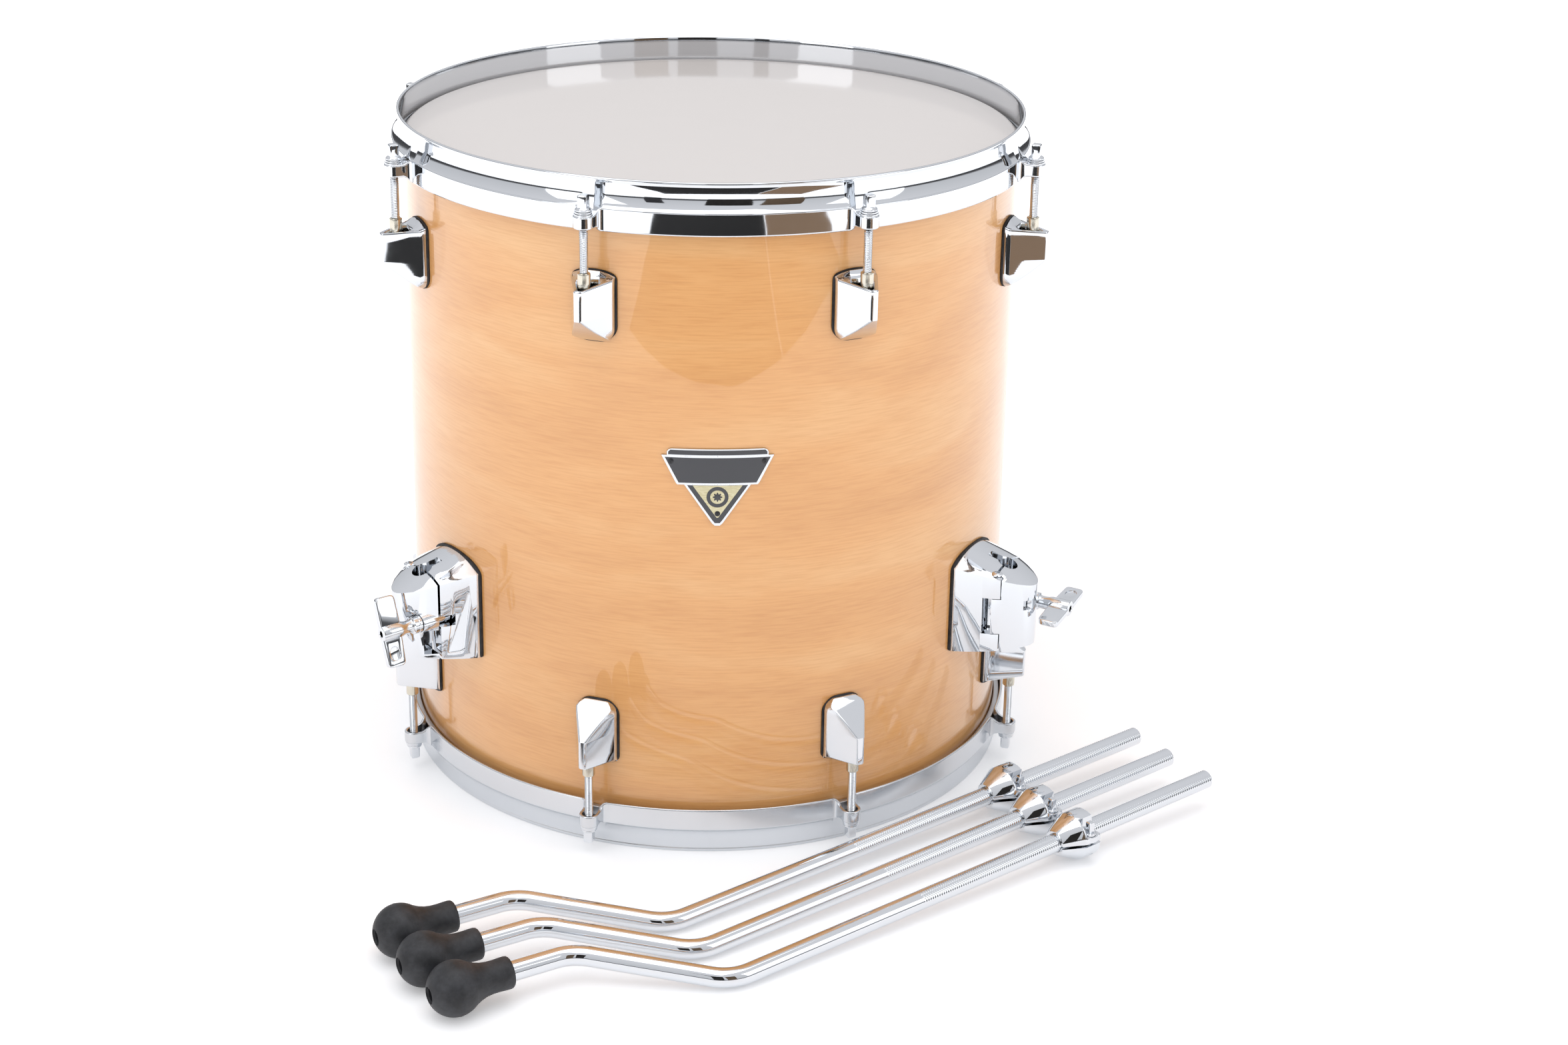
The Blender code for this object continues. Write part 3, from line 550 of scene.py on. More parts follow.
def rubber(name, colour, roughness):
    """Moulded black rubber: matte, with a fine skin and a trace of dust."""
    material, shader = finish_named(name, Roughness=roughness, Specular_IOR_Level=0.45)
    if shader is None:
        return material
    link = material.node_tree.links.new
    place = node(material, "ShaderNodeTexCoord").outputs["Object"]
    dust = node(material, "ShaderNodeTexNoise",
                {"Vector": place, "Scale": 90.0, "Detail": 6.0, "Roughness": 0.7})
    tint = ramp(material, dust.outputs["Fac"], [(0.40, colour), (0.68, "#35363A"), (0.80, "#47484C")])
    link(tint, shader.inputs["Base Color"])
    skin = node(material, "ShaderNodeTexNoise", {"Vector": place, "Scale": 900.0, "Detail": 2.0})
    bump = node(material, "ShaderNodeBump", {"Height": skin.outputs["Fac"], "Strength": 0.3,
                                             "Distance": 0.1 * MM})
    link(bump.outputs["Normal"], shader.inputs["Normal"])
    return material


def foot_rubber():
    """The feet's rubber."""
    return rubber("moulded black rubber", "#1D1E21", 0.52)


def gasket_rubber():
    """The gaskets' softer, darker rubber."""
    return rubber("black gasket rubber", "#121214", 0.60)


def badge_enamel():
    """Charcoal enamel filled into the badge's sunk fields."""
    return finish_named("charcoal enamel", Base_Color=rgba("#34353A"), Roughness=0.22, Coat_Weight=0.5,
                        Coat_Roughness=0.05)[0]


def badge_gilt():
    """Brushed gilt of the badge's lower field."""
    material, shader = finish_named("brushed gilt", Metallic=1.0, Roughness=0.34)
    if shader is None:
        return material
    place = node(material, "ShaderNodeTexCoord").outputs["Object"]
    brushed = node(material, "ShaderNodeMapping", {"Vector": place, "Scale": (400.0, 400.0, 4000.0)})
    lines = node(material, "ShaderNodeTexNoise",
                 {"Vector": brushed.outputs[0], "Scale": 1.0, "Detail": 2.0})
    tint = ramp(material, lines.outputs["Fac"], [(0.3, "#C9BE93"), (0.7, "#E6E0C2")])
    material.node_tree.links.new(tint, shader.inputs["Base Color"])
    return material


def dark_steel():
    """Blackened steel of the badge screws."""
    return plated("blackened steel", "#4A4A4C", 0.35, 0.1, 0.01 * MM, 3 * MM)


# ---------------------------------------------------------------- shell, heads and hoops

def shell_mesh():
    """The shell: a closed profile carried round the axis, with 45 degree bearing edges."""
    bore = SHELL_RADIUS - SHELL_WALL
    crest = SHELL_RADIUS - EDGE_INSET
    outside = [(SHELL_RADIUS, z) for z in np.linspace(SHELL_LOW + EDGE_DROP, SHELL_HIGH - EDGE_DROP, 5)]
    inside = [(bore, z) for z in np.linspace(SHELL_HIGH - EDGE_INSET, SHELL_LOW + EDGE_INSET, 5)]
    eased = SHELL_HIGH - 0.3 * MM
    high = [(crest + 0.4 * MM, eased), (crest, SHELL_HIGH), (crest - 0.4 * MM, eased)]
    low = [(r, SHELL_LOW + SHELL_HIGH - z) for r, z in reversed(high)]
    profile = outside + high + inside + low
    steps = 256
    around = np.arange(steps + 1) / steps * 2 * np.pi * SHELL_RADIUS
    down = np.array([z for r, z in profile] + [profile[0][1]])
    mesh = surface(revolve(profile, steps), loop=True, uv=(around, down))
    outer = len(outside) - 1
    index = np.ones((steps, len(profile)), np.int32)
    index[:, :outer] = 0
    mesh.polygons.foreach_set("material_index", index.ravel())
    return mesh


def film_mesh():
    """A head's film: flat inside the bearing edge, turned down over it and out to the flesh hoop."""
    crest = SHELL_RADIUS - EDGE_INSET
    over = SHELL_HIGH + 0.45 * MM
    bend = np.linspace(0.0, 1.0, 9)[1:]
    flat = [(r * MM, over) for r in (0.5, 30, 60, 90, 120, 150, 175, 188)] + [(crest - 1.0 * MM, over)]
    start, knee, end = (np.array(p) for p in ((crest - 1.0 * MM, over), (crest + 1.2 * MM, over),
                                              (SHELL_RADIUS + 0.75 * MM, RIM - 19.8 * MM)))
    curve = [(1 - s) ** 2 * start + 2 * s * (1 - s) * knee + s ** 2 * end for s in bend]
    top = np.array(flat + [tuple(p) for p in curve])
    under = top.copy()
    under[:, 1] -= 0.25 * MM
    under[len(flat):, 0] -= 0.25 * MM
    return surface(revolve(np.vstack([top, under[::-1]]), 256))


def flesh_hoop_mesh():
    """The metal channel bonded round the film, a rounded rectangle carried round the axis."""
    corners = [(201.4, -26.1), (205.2, -26.1), (205.2, -19.7), (201.4, -19.7)]
    outline = softened(np.array(corners) * MM, 0.9 * MM, 3)
    outline[:, 1] += RIM
    return surface(revolve(outline, 256), loop=True)


def band_curve(depth):
    """The plan of the hoop's band with its ears, moved inwards by depth, for one ear from its middle.

    An arc round the tension rod, a straight side, a fillet and an arc round the drum, each at the same
    number of points whatever the depth. Returns points (n, 2) with the rod on +X.
    """
    ear, fillet, band = EAR_RADIUS - depth, EAR_FILLET + depth, BAND_RADIUS - depth
    side = EAR_RADIUS + EAR_FILLET
    reach = BAND_RADIUS + EAR_FILLET
    centre = np.array([math.sqrt(reach ** 2 - side ** 2), side])
    turn = math.atan2(side, centre[0])
    a = np.linspace(0.0, np.pi / 2, 9)
    round_rod = np.stack([ROD_CIRCLE + ear * np.cos(a), ear * np.sin(a)], axis=1)
    s = np.linspace(0.0, 1.0, 4)[1:-1, None]
    straight = (1 - s) * round_rod[-1] + s * np.array([centre[0], ear])
    b = np.linspace(-np.pi / 2, -np.pi + turn, 8)
    hollow = centre + fillet * np.stack([np.cos(b), np.sin(b)], axis=1)
    c = np.linspace(turn, np.pi / ROD_COUNT, 16)[1:]
    plain = band * np.stack([np.cos(c), np.sin(c)], axis=1)
    return np.vstack([round_rod, straight, hollow, plain])


def round_ears(half):
    """One half ear's rows, as points or numbers, mirrored and repeated for all the ears."""
    if half.ndim == 1:
        return np.tile(np.concatenate([half, half[-2:0:-1]]), ROD_COUNT)
    mirrored = half[-2:0:-1] * np.array([1.0, -1.0])
    angles = np.arange(ROD_COUNT) * 2 * np.pi / ROD_COUNT
    copies = []
    for angle in angles:
        turn = np.array([[np.cos(angle), np.sin(angle)], [-np.sin(angle), np.cos(angle)]])
        copies.append(half @ turn)
        after = angle + 2 * np.pi / ROD_COUNT
        turn = np.array([[np.cos(after), np.sin(after)], [-np.sin(after), np.cos(after)]])
        copies.append(mirrored @ turn)
    return np.vstack(copies)


def hoop_mesh():
    """A pressed hoop: rings of points down the outside of a profile and up the inside.

    On the rim and collar a ring is a circle. Across the ledge it blends out to the band's plan, which
    bulges round each rod, and it sinks by EAR_DIP over the ears.
    """
    half = band_curve(0.0)
    azimuth = round_ears(np.column_stack([np.cos(np.arctan2(half[:, 1], half[:, 0])),
                                          np.sin(np.arctan2(half[:, 1], half[:, 0]))]))
    rise = np.clip((np.linalg.norm(half, axis=1) - BAND_RADIUS) / (4.5 * MM), 0.0, 1.0)
    ear = round_ears(rise * rise * (3 - 2 * rise))

    def circle(radius, drop, dip=0.0):
        return np.column_stack([azimuth * radius, RIM - drop - dip * EAR_DIP * ear])

    def band(depth, drop, dip=0.0):
        return np.column_stack([round_ears(band_curve(depth)), RIM - drop - dip * EAR_DIP * ear])

    rings = [circle(r * MM, d * MM) for r, d in (
        (202.0, 0.7), (202.2, 0.25), (202.7, 0.0), (203.3, 0.0), (203.75, 0.2), (203.95, 0.7), (203.9, 1.7),
        (203.6, 2.3), (203.5, 3.0), (203.5, 6.0), (203.5, 9.3))]
    slope = np.linspace(0.0, 1.0, 9)[1:]
    for s in slope:
        out = 203.5 + 3.3 * s ** 1.7
        down = 9.3 + 6.6 * (1 - (1 - s) ** 1.25) + 0.9 * s ** 3
        rings.append(circle(out * MM, down * MM, s ** 0.7))
    edge = 0.8 * MM
    last = rings[-1]
    turn_over = band(edge, 17.0 * MM, 1.0)
    rings.append(0.5 * last + 0.5 * turn_over)
    rounds = np.linspace(0.0, np.pi / 2, 5)
    for a in rounds:
        rings.append(band(edge * (1 - np.sin(a)), 17.0 * MM + edge * (1 - np.cos(a)), 1.0))
    rings += [band(0.0, 18.1 * MM, 1.0), band(0.0, 20.5 * MM, 0.3), band(0.0, 25.0 * MM),
              band(0.0, HOOP_HEIGHT - 1.1 * MM, EAR_LIFT), band(0.0, HOOP_HEIGHT - 0.7 * MM, EAR_LIFT)]
    rings += [band(0.25 * MM, HOOP_HEIGHT - 0.15 * MM, EAR_LIFT), band(0.75 * MM, HOOP_HEIGHT, EAR_LIFT),
              band(BAND_WALL - 0.5 * MM, HOOP_HEIGHT, EAR_LIFT),
              band(BAND_WALL, HOOP_HEIGHT - 0.4 * MM, EAR_LIFT)]
    rings += [band(BAND_WALL, 25.0 * MM), band(BAND_WALL, 20.6 * MM, 0.8),
              band(BAND_WALL + 0.6 * MM, 19.4 * MM, 0.9)]
    inner = circle(COLLAR_BORE + 0.4 * MM, 19.0 * MM)
    rings += [0.5 * rings[-1] + 0.5 * inner, inner, circle(COLLAR_BORE, 18.6 * MM)]
    rings += [circle(COLLAR_BORE, d * MM) for d in (14.0, 9.0, 4.0)]
    return surface(np.stack(rings, axis=1), loop=True)


def thread(radius, depth, pitch, low, high, sides=18, per_turn=7):
    """A screw thread: radius minus a triangle wave of the height less the angle's share of a pitch."""
    rows = int((high - low) / pitch * per_turn)
    z = np.linspace(low, high, rows)[None]
    angle = np.linspace(0.0, 2 * np.pi, sides, endpoint=False)[:, None]
    phase = z / pitch - angle / (2 * np.pi)
    wave = np.abs(2 * (phase - np.floor(phase + 0.5)))
    fade = np.clip(np.minimum(z - low, high - z) / pitch, 0.0, 1.0)
    r = radius - depth * wave * fade - 0.4 * depth * (1 - fade)
    return surface(np.stack([r * np.cos(angle), r * np.sin(angle), z + 0 * angle], axis=2))


def square(half, corner, steps=4):
    """A rounded square outline, counter-clockwise."""
    return softened(np.array([(-half, -half), (half, -half), (half, half), (-half, half)]), corner, steps)


def key_head(half, low, high):
    """A square key head: rounded squares stacked, drawn in at the top."""
    levels = [(1.0, low), (1.0, high - 1.1 * MM), (0.95, high - 0.5 * MM), (0.82, high - 0.1 * MM),
              (0.6, high)]
    rings = [np.column_stack([square(half * k, 0.35 * half * k), np.full(20, z)]) for k, z in levels]
    return surface(np.stack(rings, axis=1))


def tension_rod_mesh():
    """A tension rod on Z at the rod circle: key head, domed flange and threaded shank."""
    top = RIM - FLANGE_DROP
    head = key_head(2.95 * MM, top - 1.2 * MM, RIM - KEY_TOP)
    washer = [(0.2, 0.9), (2.9, 0.8), (4.0, 0.3), (4.7, -0.3), (5.0, -0.9), (4.9, -1.5), (4.6, -1.7),
              (0.2, -1.7)]
    flange = surface(revolve([(r * MM, top + z * MM) for r, z in washer], 32))
    neck = surface(revolve([(2.5 * MM, top - 1.5 * MM), (2.5 * MM, RIM - EAR_DROP - 2.8 * MM)], 18))
    shank = thread(ROD_RADIUS, THREAD_DEPTH, THREAD_PITCH, RIM - ROD_END, RIM - EAR_DROP - 2.2 * MM)
    bright = joined(head, flange)
    mark_material(bright, 0)
    dull = joined(neck, shank)
    mark_material(dull, 1)
    mesh = joined(bright, dull)
    mesh.transform(Matrix.Translation((ROD_CIRCLE, 0.0, 0.0)))
    return mesh


def mark_material(mesh, number):
    """Gives every face of a mesh one material number."""
    mesh.polygons.foreach_set("material_index", np.full(len(mesh.polygons), number, np.int32))
    return mesh


def washers_mesh():
    """The two washers under a rod's flange, each a rounded ring."""
    rings = []
    for outer, low, high in ((5.3, 18.35, 17.25), (5.7, 19.6, 18.5)):
        corners = np.array([(3.0, -low), (outer, -low), (outer, -high), (3.0, -high)]) * MM
        outline = softened(corners, 0.35 * MM, 3)
        outline[:, 1] += RIM
        rings.append(surface(revolve(outline, 32), loop=True))
    mesh = joined(*rings)
    mesh.transform(Matrix.Translation((ROD_CIRCLE, 0.0, 0.0)))
    return mesh


# ---------------------------------------------------------------- lugs

def flank(r):
    """A lug's half width at a distance from the drum's axis: full on the flange, then in to the nose."""
    s = np.clip((r - LUG_BACK - LUG_FLANGE) / (LUG_NOSE - LUG_BACK - LUG_FLANGE), 0.0, 1.0)
    return LUG_HALF + (2.2 * MM - LUG_HALF) * s


def lug_section(drop, pull=0.0):
    """A lug's plan at a drop below the rim: back, flange sides, flanks and nose, pulled inwards by pull.

    Below LUG_NOSE_END the nose retreats along a slanted plane, and the flange's lower corners close in as
    an ellipse.
    """
    tail = np.clip((drop - LUG_NOSE_END) / (LUG_TAIL - LUG_NOSE_END), 0.0, 1.0)
    nose = LUG_NOSE - (LUG_NOSE - LUG_BACK - 1.0 * MM) * (0.82 * tail + 0.18 * tail ** 3)
    corner = np.clip((drop - (LUG_TAIL - 9.0 * MM)) / (9.0 * MM), 0.0, 0.995)
    half = LUG_HALF * (0.42 + 0.58 * math.sqrt(1 - corner ** 2))
    front = min(float(flank(nose)), half)
    shoulder = LUG_BACK + min(LUG_FLANGE, nose - LUG_BACK - 0.3 * MM)
    right = [(LUG_BACK, half * 0.33), (LUG_BACK, half * 0.7), (LUG_BACK, half),
             (shoulder, min(half, float(flank(shoulder)))), (nose, front)]
    corners = [(r, -t) for r, t in right] + [(r, t) for r, t in reversed(right)]
    radii = np.array([0.1, 0.1, 0.3, 3.2, 1.3] + [1.3, 3.2, 0.3, 0.1, 0.1]) * MM
    outline = softened(np.array(corners), radii, 5)
    return inset(outline, pull)


def lug_top(outline):
    """The drop of a lug's V shaped rim over its plan: lowest at the nose, less so at the flange's sides."""
    out = (outline[:, 0] - LUG_BACK) / (LUG_NOSE - LUG_BACK)
    side = outline[:, 1] / LUG_HALF
    return LUG_TOP + LUG_SHOULDER_DROP * side ** 2 + LUG_NOSE_DROP * out + 1.0 * MM * np.sin(np.pi * out)


def lug_mesh():
    """A cast lug: from the mouth's floor up its wall, over the rim, down the flanks and round the tail."""
    near = [(LUG_NOSE - 4.6 * MM, 0.9 * MM), (LUG_NOSE - 9.0 * MM, 4.6 * MM), (LUG_BACK + 7.5 * MM, 7.6 * MM),
            (LUG_BACK + 5.2 * MM, 5.5 * MM)]
    mouth = softened(np.array([(r, -t) for r, t in reversed(near)] + near), 3.5 * MM, 5)
    outline = lug_section(LUG_TOP)
    steps = len(outline)
    mouth = resampled(mouth, outline)

    def ring(flat, drop):
        return np.column_stack([flat, RIM - np.broadcast_to(drop, steps)])

    floor = LUG_TOP + 15.0 * MM
    middle = mouth.mean(axis=0)
    rings = [ring(middle + (mouth - middle) * 0.05, floor), ring(inset(mouth, 0.8 * MM), floor),
             ring(inset(mouth, 0.3 * MM), lug_top(mouth) + 5.0 * MM), ring(mouth, lug_top(mouth) + 1.9 * MM)]
    rings += [ring(inset(mouth, -0.5 * MM), lug_top(mouth) + 1.1 * MM)]
    for s in (0.35, 0.7):
        between = (1 - s) * inset(mouth, -0.5 * MM) + s * inset(outline, 1.3 * MM)
        rings.append(ring(between, lug_top(between) + (0.95 - 0.85 * s) * MM))
    for pull, sink in ((1.2, -0.15), (0.8, -0.25), (0.35, -0.05), (0.08, 0.35), (0.0, 0.9)):
        flat = inset(outline, pull * MM)
        rings.append(ring(flat, lug_top(outline) + sink * MM))
    top_edge = lug_top(outline) + 0.9 * MM
    for s in (0.3, 0.7):
        rings.append(ring(outline, (1 - s) * top_edge + s * (LUG_NOSE_END - 1.0 * MM)))
    rings.append(ring(outline, LUG_NOSE_END - 0.8 * MM))
    for drop in np.concatenate([[LUG_NOSE_END, LUG_NOSE_END + 0.5 * MM, LUG_NOSE_END + 1.2 * MM],
                                np.linspace(LUG_NOSE_END + 2.5 * MM, LUG_TAIL - 0.4 * MM, 12)]):
        rings.append(ring(lug_section(drop), drop))
    last = lug_section(LUG_TAIL - 0.05 * MM)
    rings.append(ring(last, LUG_TAIL))
    return surface(bent_to_shell(np.stack(rings, axis=1)))


def resampled(outline, like):
    """A closed outline given as many points as another, matched by angle round each one's middle."""
    centre = outline.mean(axis=0)
    angle = np.unwrap(np.arctan2(*(outline - centre).T[::-1]))
    closed = np.vstack([outline, outline[:1]])
    turn = np.append(angle, angle[0] + 2 * np.pi)
    middle = like.mean(axis=0)
    wanted = np.unwrap(np.arctan2(*(like - middle).T[::-1]))
    wanted = angle[0] + (wanted - angle[0]) % (2 * np.pi)
    x = np.interp(wanted, turn, closed[:, 0])
    y = np.interp(wanted, turn, closed[:, 1])
    return np.stack([x, y], axis=1)


def bent_to_shell(points):
    """Bends a fitting's back to the shell: X falls by the shell's sagitta y^2 / 2R, fading out by 12 mm."""
    bent = points.copy()
    fade = np.clip(1 - (points[..., 0] - SHELL_RADIUS) / (12 * MM), 0.0, 1.0)
    bent[..., 0] -= points[..., 1] ** 2 / (2 * SHELL_RADIUS) * fade
    return bent


def on_shell(flat, low, high, edge, centre_drop):
    """A plate with its outline in (sideways, drop), lying on the shell from radius low to high."""
    plate = slab(flat, low, high, edge)
    points = np.stack([plate[..., 2], plate[..., 0], RIM - centre_drop - plate[..., 1]], axis=2)
    points[..., 0] -= points[..., 1] ** 2 / (2 * SHELL_RADIUS)
    return surface(points)


def dense(corners, radius, spacing, steps=6):
    """A rounded outline with its long sides divided at about the spacing."""
    outline = softened(np.array(corners, float), radius, steps)
    closed = np.vstack([outline, outline[:1]])
    lengths = np.linalg.norm(np.diff(closed, axis=0), axis=1)
    counts = np.maximum(1, np.ceil(lengths / spacing).astype(int))
    parts = [a + (b - a) * np.linspace(0.0, 1.0, n, endpoint=False)[:, None]
             for a, b, n in zip(closed[:-1], closed[1:], counts)]
    return np.vstack(parts)


def lug_gasket_mesh():
    """The rubber gasket under a lug, a little larger than the lug's flange."""
    half, over = LUG_HALF + 0.8 * MM, 0.8 * MM
    tall = (LUG_TAIL - LUG_TOP) / 2 + over
    top = [(half, -tall + 3.2 * MM), (0.5 * half, -tall + 0.6 * MM)]
    corners = [(-x, y) for x, y in top] + [(0.0, -tall)] + top[::-1]
    corners += [(half, tall - 6.5 * MM), (0.55 * half, tall), (-0.55 * half, tall), (-half, tall - 6.5 * MM)]
    outline = dense(corners, 4.0 * MM, 3.0 * MM)
    middle = (LUG_TAIL + LUG_TOP) / 2
    return on_shell(outline, SHELL_RADIUS + 0.05 * MM, LUG_BACK + 0.1 * MM, 0.35 * MM, middle)


def swivel_nut_mesh():
    """The swivel nut: a turned barrel with a flat rim above the mouth and a taper into the lug."""
    top = RIM - 54.6 * MM
    profile = np.array([(2.6, -1.5), (2.6, 0.0), (3.4, 0.0), (3.9, -0.35), (4.0, -0.9), (4.0, -6.4),
                        (3.8, -8.4), (3.3, -10.5), (2.7, -12.5), (2.6, -14.0)]) * MM
    profile[:, 1] += top
    mesh = surface(revolve(profile, 28), loop=True)
    mesh.transform(Matrix.Translation((ROD_CIRCLE, 0.0, 0.0)))
    return mesh


def lug_screws_mesh():
    """The two screws that hold a lug, seen inside the shell: a broad washer and a domed head each."""
    bodies = []
    for drop in (66.0 * MM, 91.0 * MM):
        washer = np.array([(0.3, 0.0), (7.0, 0.0), (7.2, 0.3), (7.0, 1.0), (4.4, 1.2), (4.3, 2.6),
                           (3.6, 3.6), (2.0, 4.2), (0.3, 4.3)]) * MM
        points = revolve(washer, 28)
        inside = Matrix.Translation((SHELL_RADIUS - SHELL_WALL - 0.05 * MM, 0.0, RIM - drop))
        turn = inside @ Matrix.Rotation(-math.pi / 2, 4, "Y")
        bodies.append(surface(turned_points(points, turn)))
    return joined(*bodies)


# ---------------------------------------------------------------- leg brackets

def bracket_half(r):
    """A bracket's half width over the distance from the drum's axis."""
    return np.interp(r, BRACKET_STATIONS[:, 0] * MM, BRACKET_STATIONS[:, 1] * MM)


def bracket_block():
    """The bracket's outside as sections across it, from the shell to its nose.

    Each section runs along the bottom, up one side to the crease, over a dome
    z = crease + (crest - crease)(1 - |q|^2.2) and down the other side.
    """
    r, half, crest, crease = BRACKET_STATIONS.T * MM
    fine = np.sort(np.concatenate([r, (r[:-2] + r[1:-1]) / 2]))
    half, crest, crease = (np.interp(fine, r, values)[:, None] for values in (half, crest, crease))
    q = np.linspace(1.0, -1.0, 25)
    dome = np.stack([half * q, crease + (crest - crease) * (1 - np.abs(q) ** 2.2)], axis=2)
    foot = np.array(BRACKET_FOOT) * MM
    low = np.interp(fine, foot[:, 0], foot[:, 1])[:, None]
    floor = np.stack([half * np.array([-1.0, 0.0, 1.0]), np.repeat(low, 3, axis=1)], axis=2)
    section = np.concatenate([floor, dome], axis=1)
    out = np.broadcast_to(fine[:, None, None], (*section.shape[:2], 1))
    points = np.concatenate([out, section], axis=2)
    return surface(points.transpose(1, 0, 2))


def keyed_bore():
    """The leg's bore and the memory lock's key slot on its inner side, as one cutter."""
    low, high = 90.0 * MM, 190.0 * MM
    slot = block((KEY_SLOT[0], -KEY_SLOT[1], low), (SPLIT, KEY_SLOT[1], high))
    return combined(bar((SPLIT, 0.0, low), (SPLIT, 0.0, high), BORE, 40), slot, "UNION")


def upright(r, t, radius, low, high, steps=28):
    """An upright round bar in the fitting frame."""
    return bar((r, t, low), (r, t, high), radius, steps)


def bracket_base():
    """The bracket's inner half, flush out to its hinge on one side, with the middle knuckle's window."""
    base = combined(bracket_block(), keyed_bore())
    low, high, wide, out = 90 * MM, 190 * MM, 60 * MM, 270 * MM
    room = 3.8 * MM
    seat = surface(revolve([(SHELL_RADIUS + 1.6 * MM, low), (SHELL_RADIUS + 1.6 * MM, high)], 192))
    cuts = [
        seat,
        block((SPLIT - SPLIT_GAP / 2, HINGE_AT - 0.2 * MM, low), (out, wide, high)),
        block((HINGE_OUT, -wide, low), (out, wide, high)),
        block((220.5 * MM, -wide, WINDOW[0]), (out, HINGE_AT + 3.0 * MM, WINDOW[1])),
        block((216.7 * MM, BOLT_AT[0] - room, BOLT_AT[1] - room), (out, wide, BOLT_AT[1] + room)),
        side_relief(),
    ]
    for cut in cuts:
        base = combined(base, cut)
    return bevelled(base, 0.55 * MM, 3)


def side_relief():
    """The shallow panel sunk into the base's +t side, between its flange and the split."""
    corners = [(211.8, 111.6), (223.4, 112.0), (217.8, 148.8), (206.3, 153.0)]
    outline = softened(np.array(corners) * MM, 3.0 * MM, 5)
    plate = slab(outline, 0.0, 6.0 * MM, 1.0 * MM)
    middle = 215.0 * MM
    slope = math.atan2(float(bracket_half(206 * MM) - bracket_half(224 * MM)), 18.0 * MM)
    points = np.stack([plate[..., 0] - middle, plate[..., 2], plate[..., 1]], axis=2)
    side = Matrix.Translation((middle, float(bracket_half(middle)) - 0.9 * MM, 0.0))
    return surface(turned_points(points, side @ Matrix.Rotation(-slope, 4, "Z")))


def bracket_door():
    """The bracket's hinged outer half, with the middle knuckle's tongue and the wing bolt's boss."""
    door = combined(bracket_block(), keyed_bore())
    low, high, wide, start = 90 * MM, 190 * MM, 60 * MM, 190 * MM
    face = SPLIT + SPLIT_GAP / 2
    y, z = BOLT_AT
    boss_end = 238.5 * MM
    cuts = [
        block((start, -wide, low), (SPLIT - 1.0 * MM, wide, high)),
        block((start, -11.5 * MM, low), (face, wide, high)),
        block((start, -wide, low), (face, wide, WINDOW[0] + 0.4 * MM)),
        block((start, -wide, WINDOW[1] - 0.4 * MM), (face, wide, high)),
        block((start, -wide, low), (HINGE_OUT + 0.7 * MM, HINGE_AT + 0.6 * MM, WINDOW[0] + 0.4 * MM)),
        block((start, -wide, WINDOW[1] - 0.4 * MM), (HINGE_OUT + 0.7 * MM, HINGE_AT + 0.6 * MM, high)),
        block((SPLIT - 3 * MM, y - 3.6 * MM, 112.8 * MM), (236.0 * MM, y + 12 * MM, 129.0 * MM)),
        block((243.0 * MM, -9.0 * MM, 137.6 * MM), (252.0 * MM, -4.2 * MM, 144.0 * MM)),
        upright(SPLIT, HINGE_AT, 2.2 * MM, low, high),
    ]
    for cut in cuts:
        door = combined(door, cut)
    door = combined(door, bar((face, y, z), (boss_end, y, z), 6.2 * MM, 32), "UNION")
    door = combined(door, bar((boss_end, y, z), (270 * MM, y, z), 6.5 * MM, 32))
    return bevelled(door, 0.55 * MM, 3)


def bracket_gasket():
    """The rubber gasket between a bracket and the shell: an arched outline, flat at the bottom."""
    right = [(27.2, -104.6), (27.2, -163.5), (23.0, -167.3), (16.3, -170.3), (7.4, -172.0)]
    corners = right + [(0.0, -172.3)] + [(-x, y) for x, y in reversed(right)]
    outline = dense(np.array(corners)[::-1] * MM, 2.5 * MM, 3.0 * MM)
    return on_shell(outline, SHELL_RADIUS + 0.05 * MM, SHELL_RADIUS + 2.0 * MM, 0.4 * MM, RIM)


def hinge_pin():
    """A hinge pin with a round head and a socket on top."""
    profile = [(0.1, 109.5), (2.0, 109.5), (2.0, 160.8), (3.2, 161.0), (3.6, 161.5), (3.5, 162.3),
               (2.6, 163.0), (1.8, 163.1), (1.7, 161.9), (0.1, 161.9)]
    pin = surface(revolve(np.array(profile) * MM, 28))
    pin.transform(Matrix.Translation((SPLIT, HINGE_AT, 0.0)))
    return pin


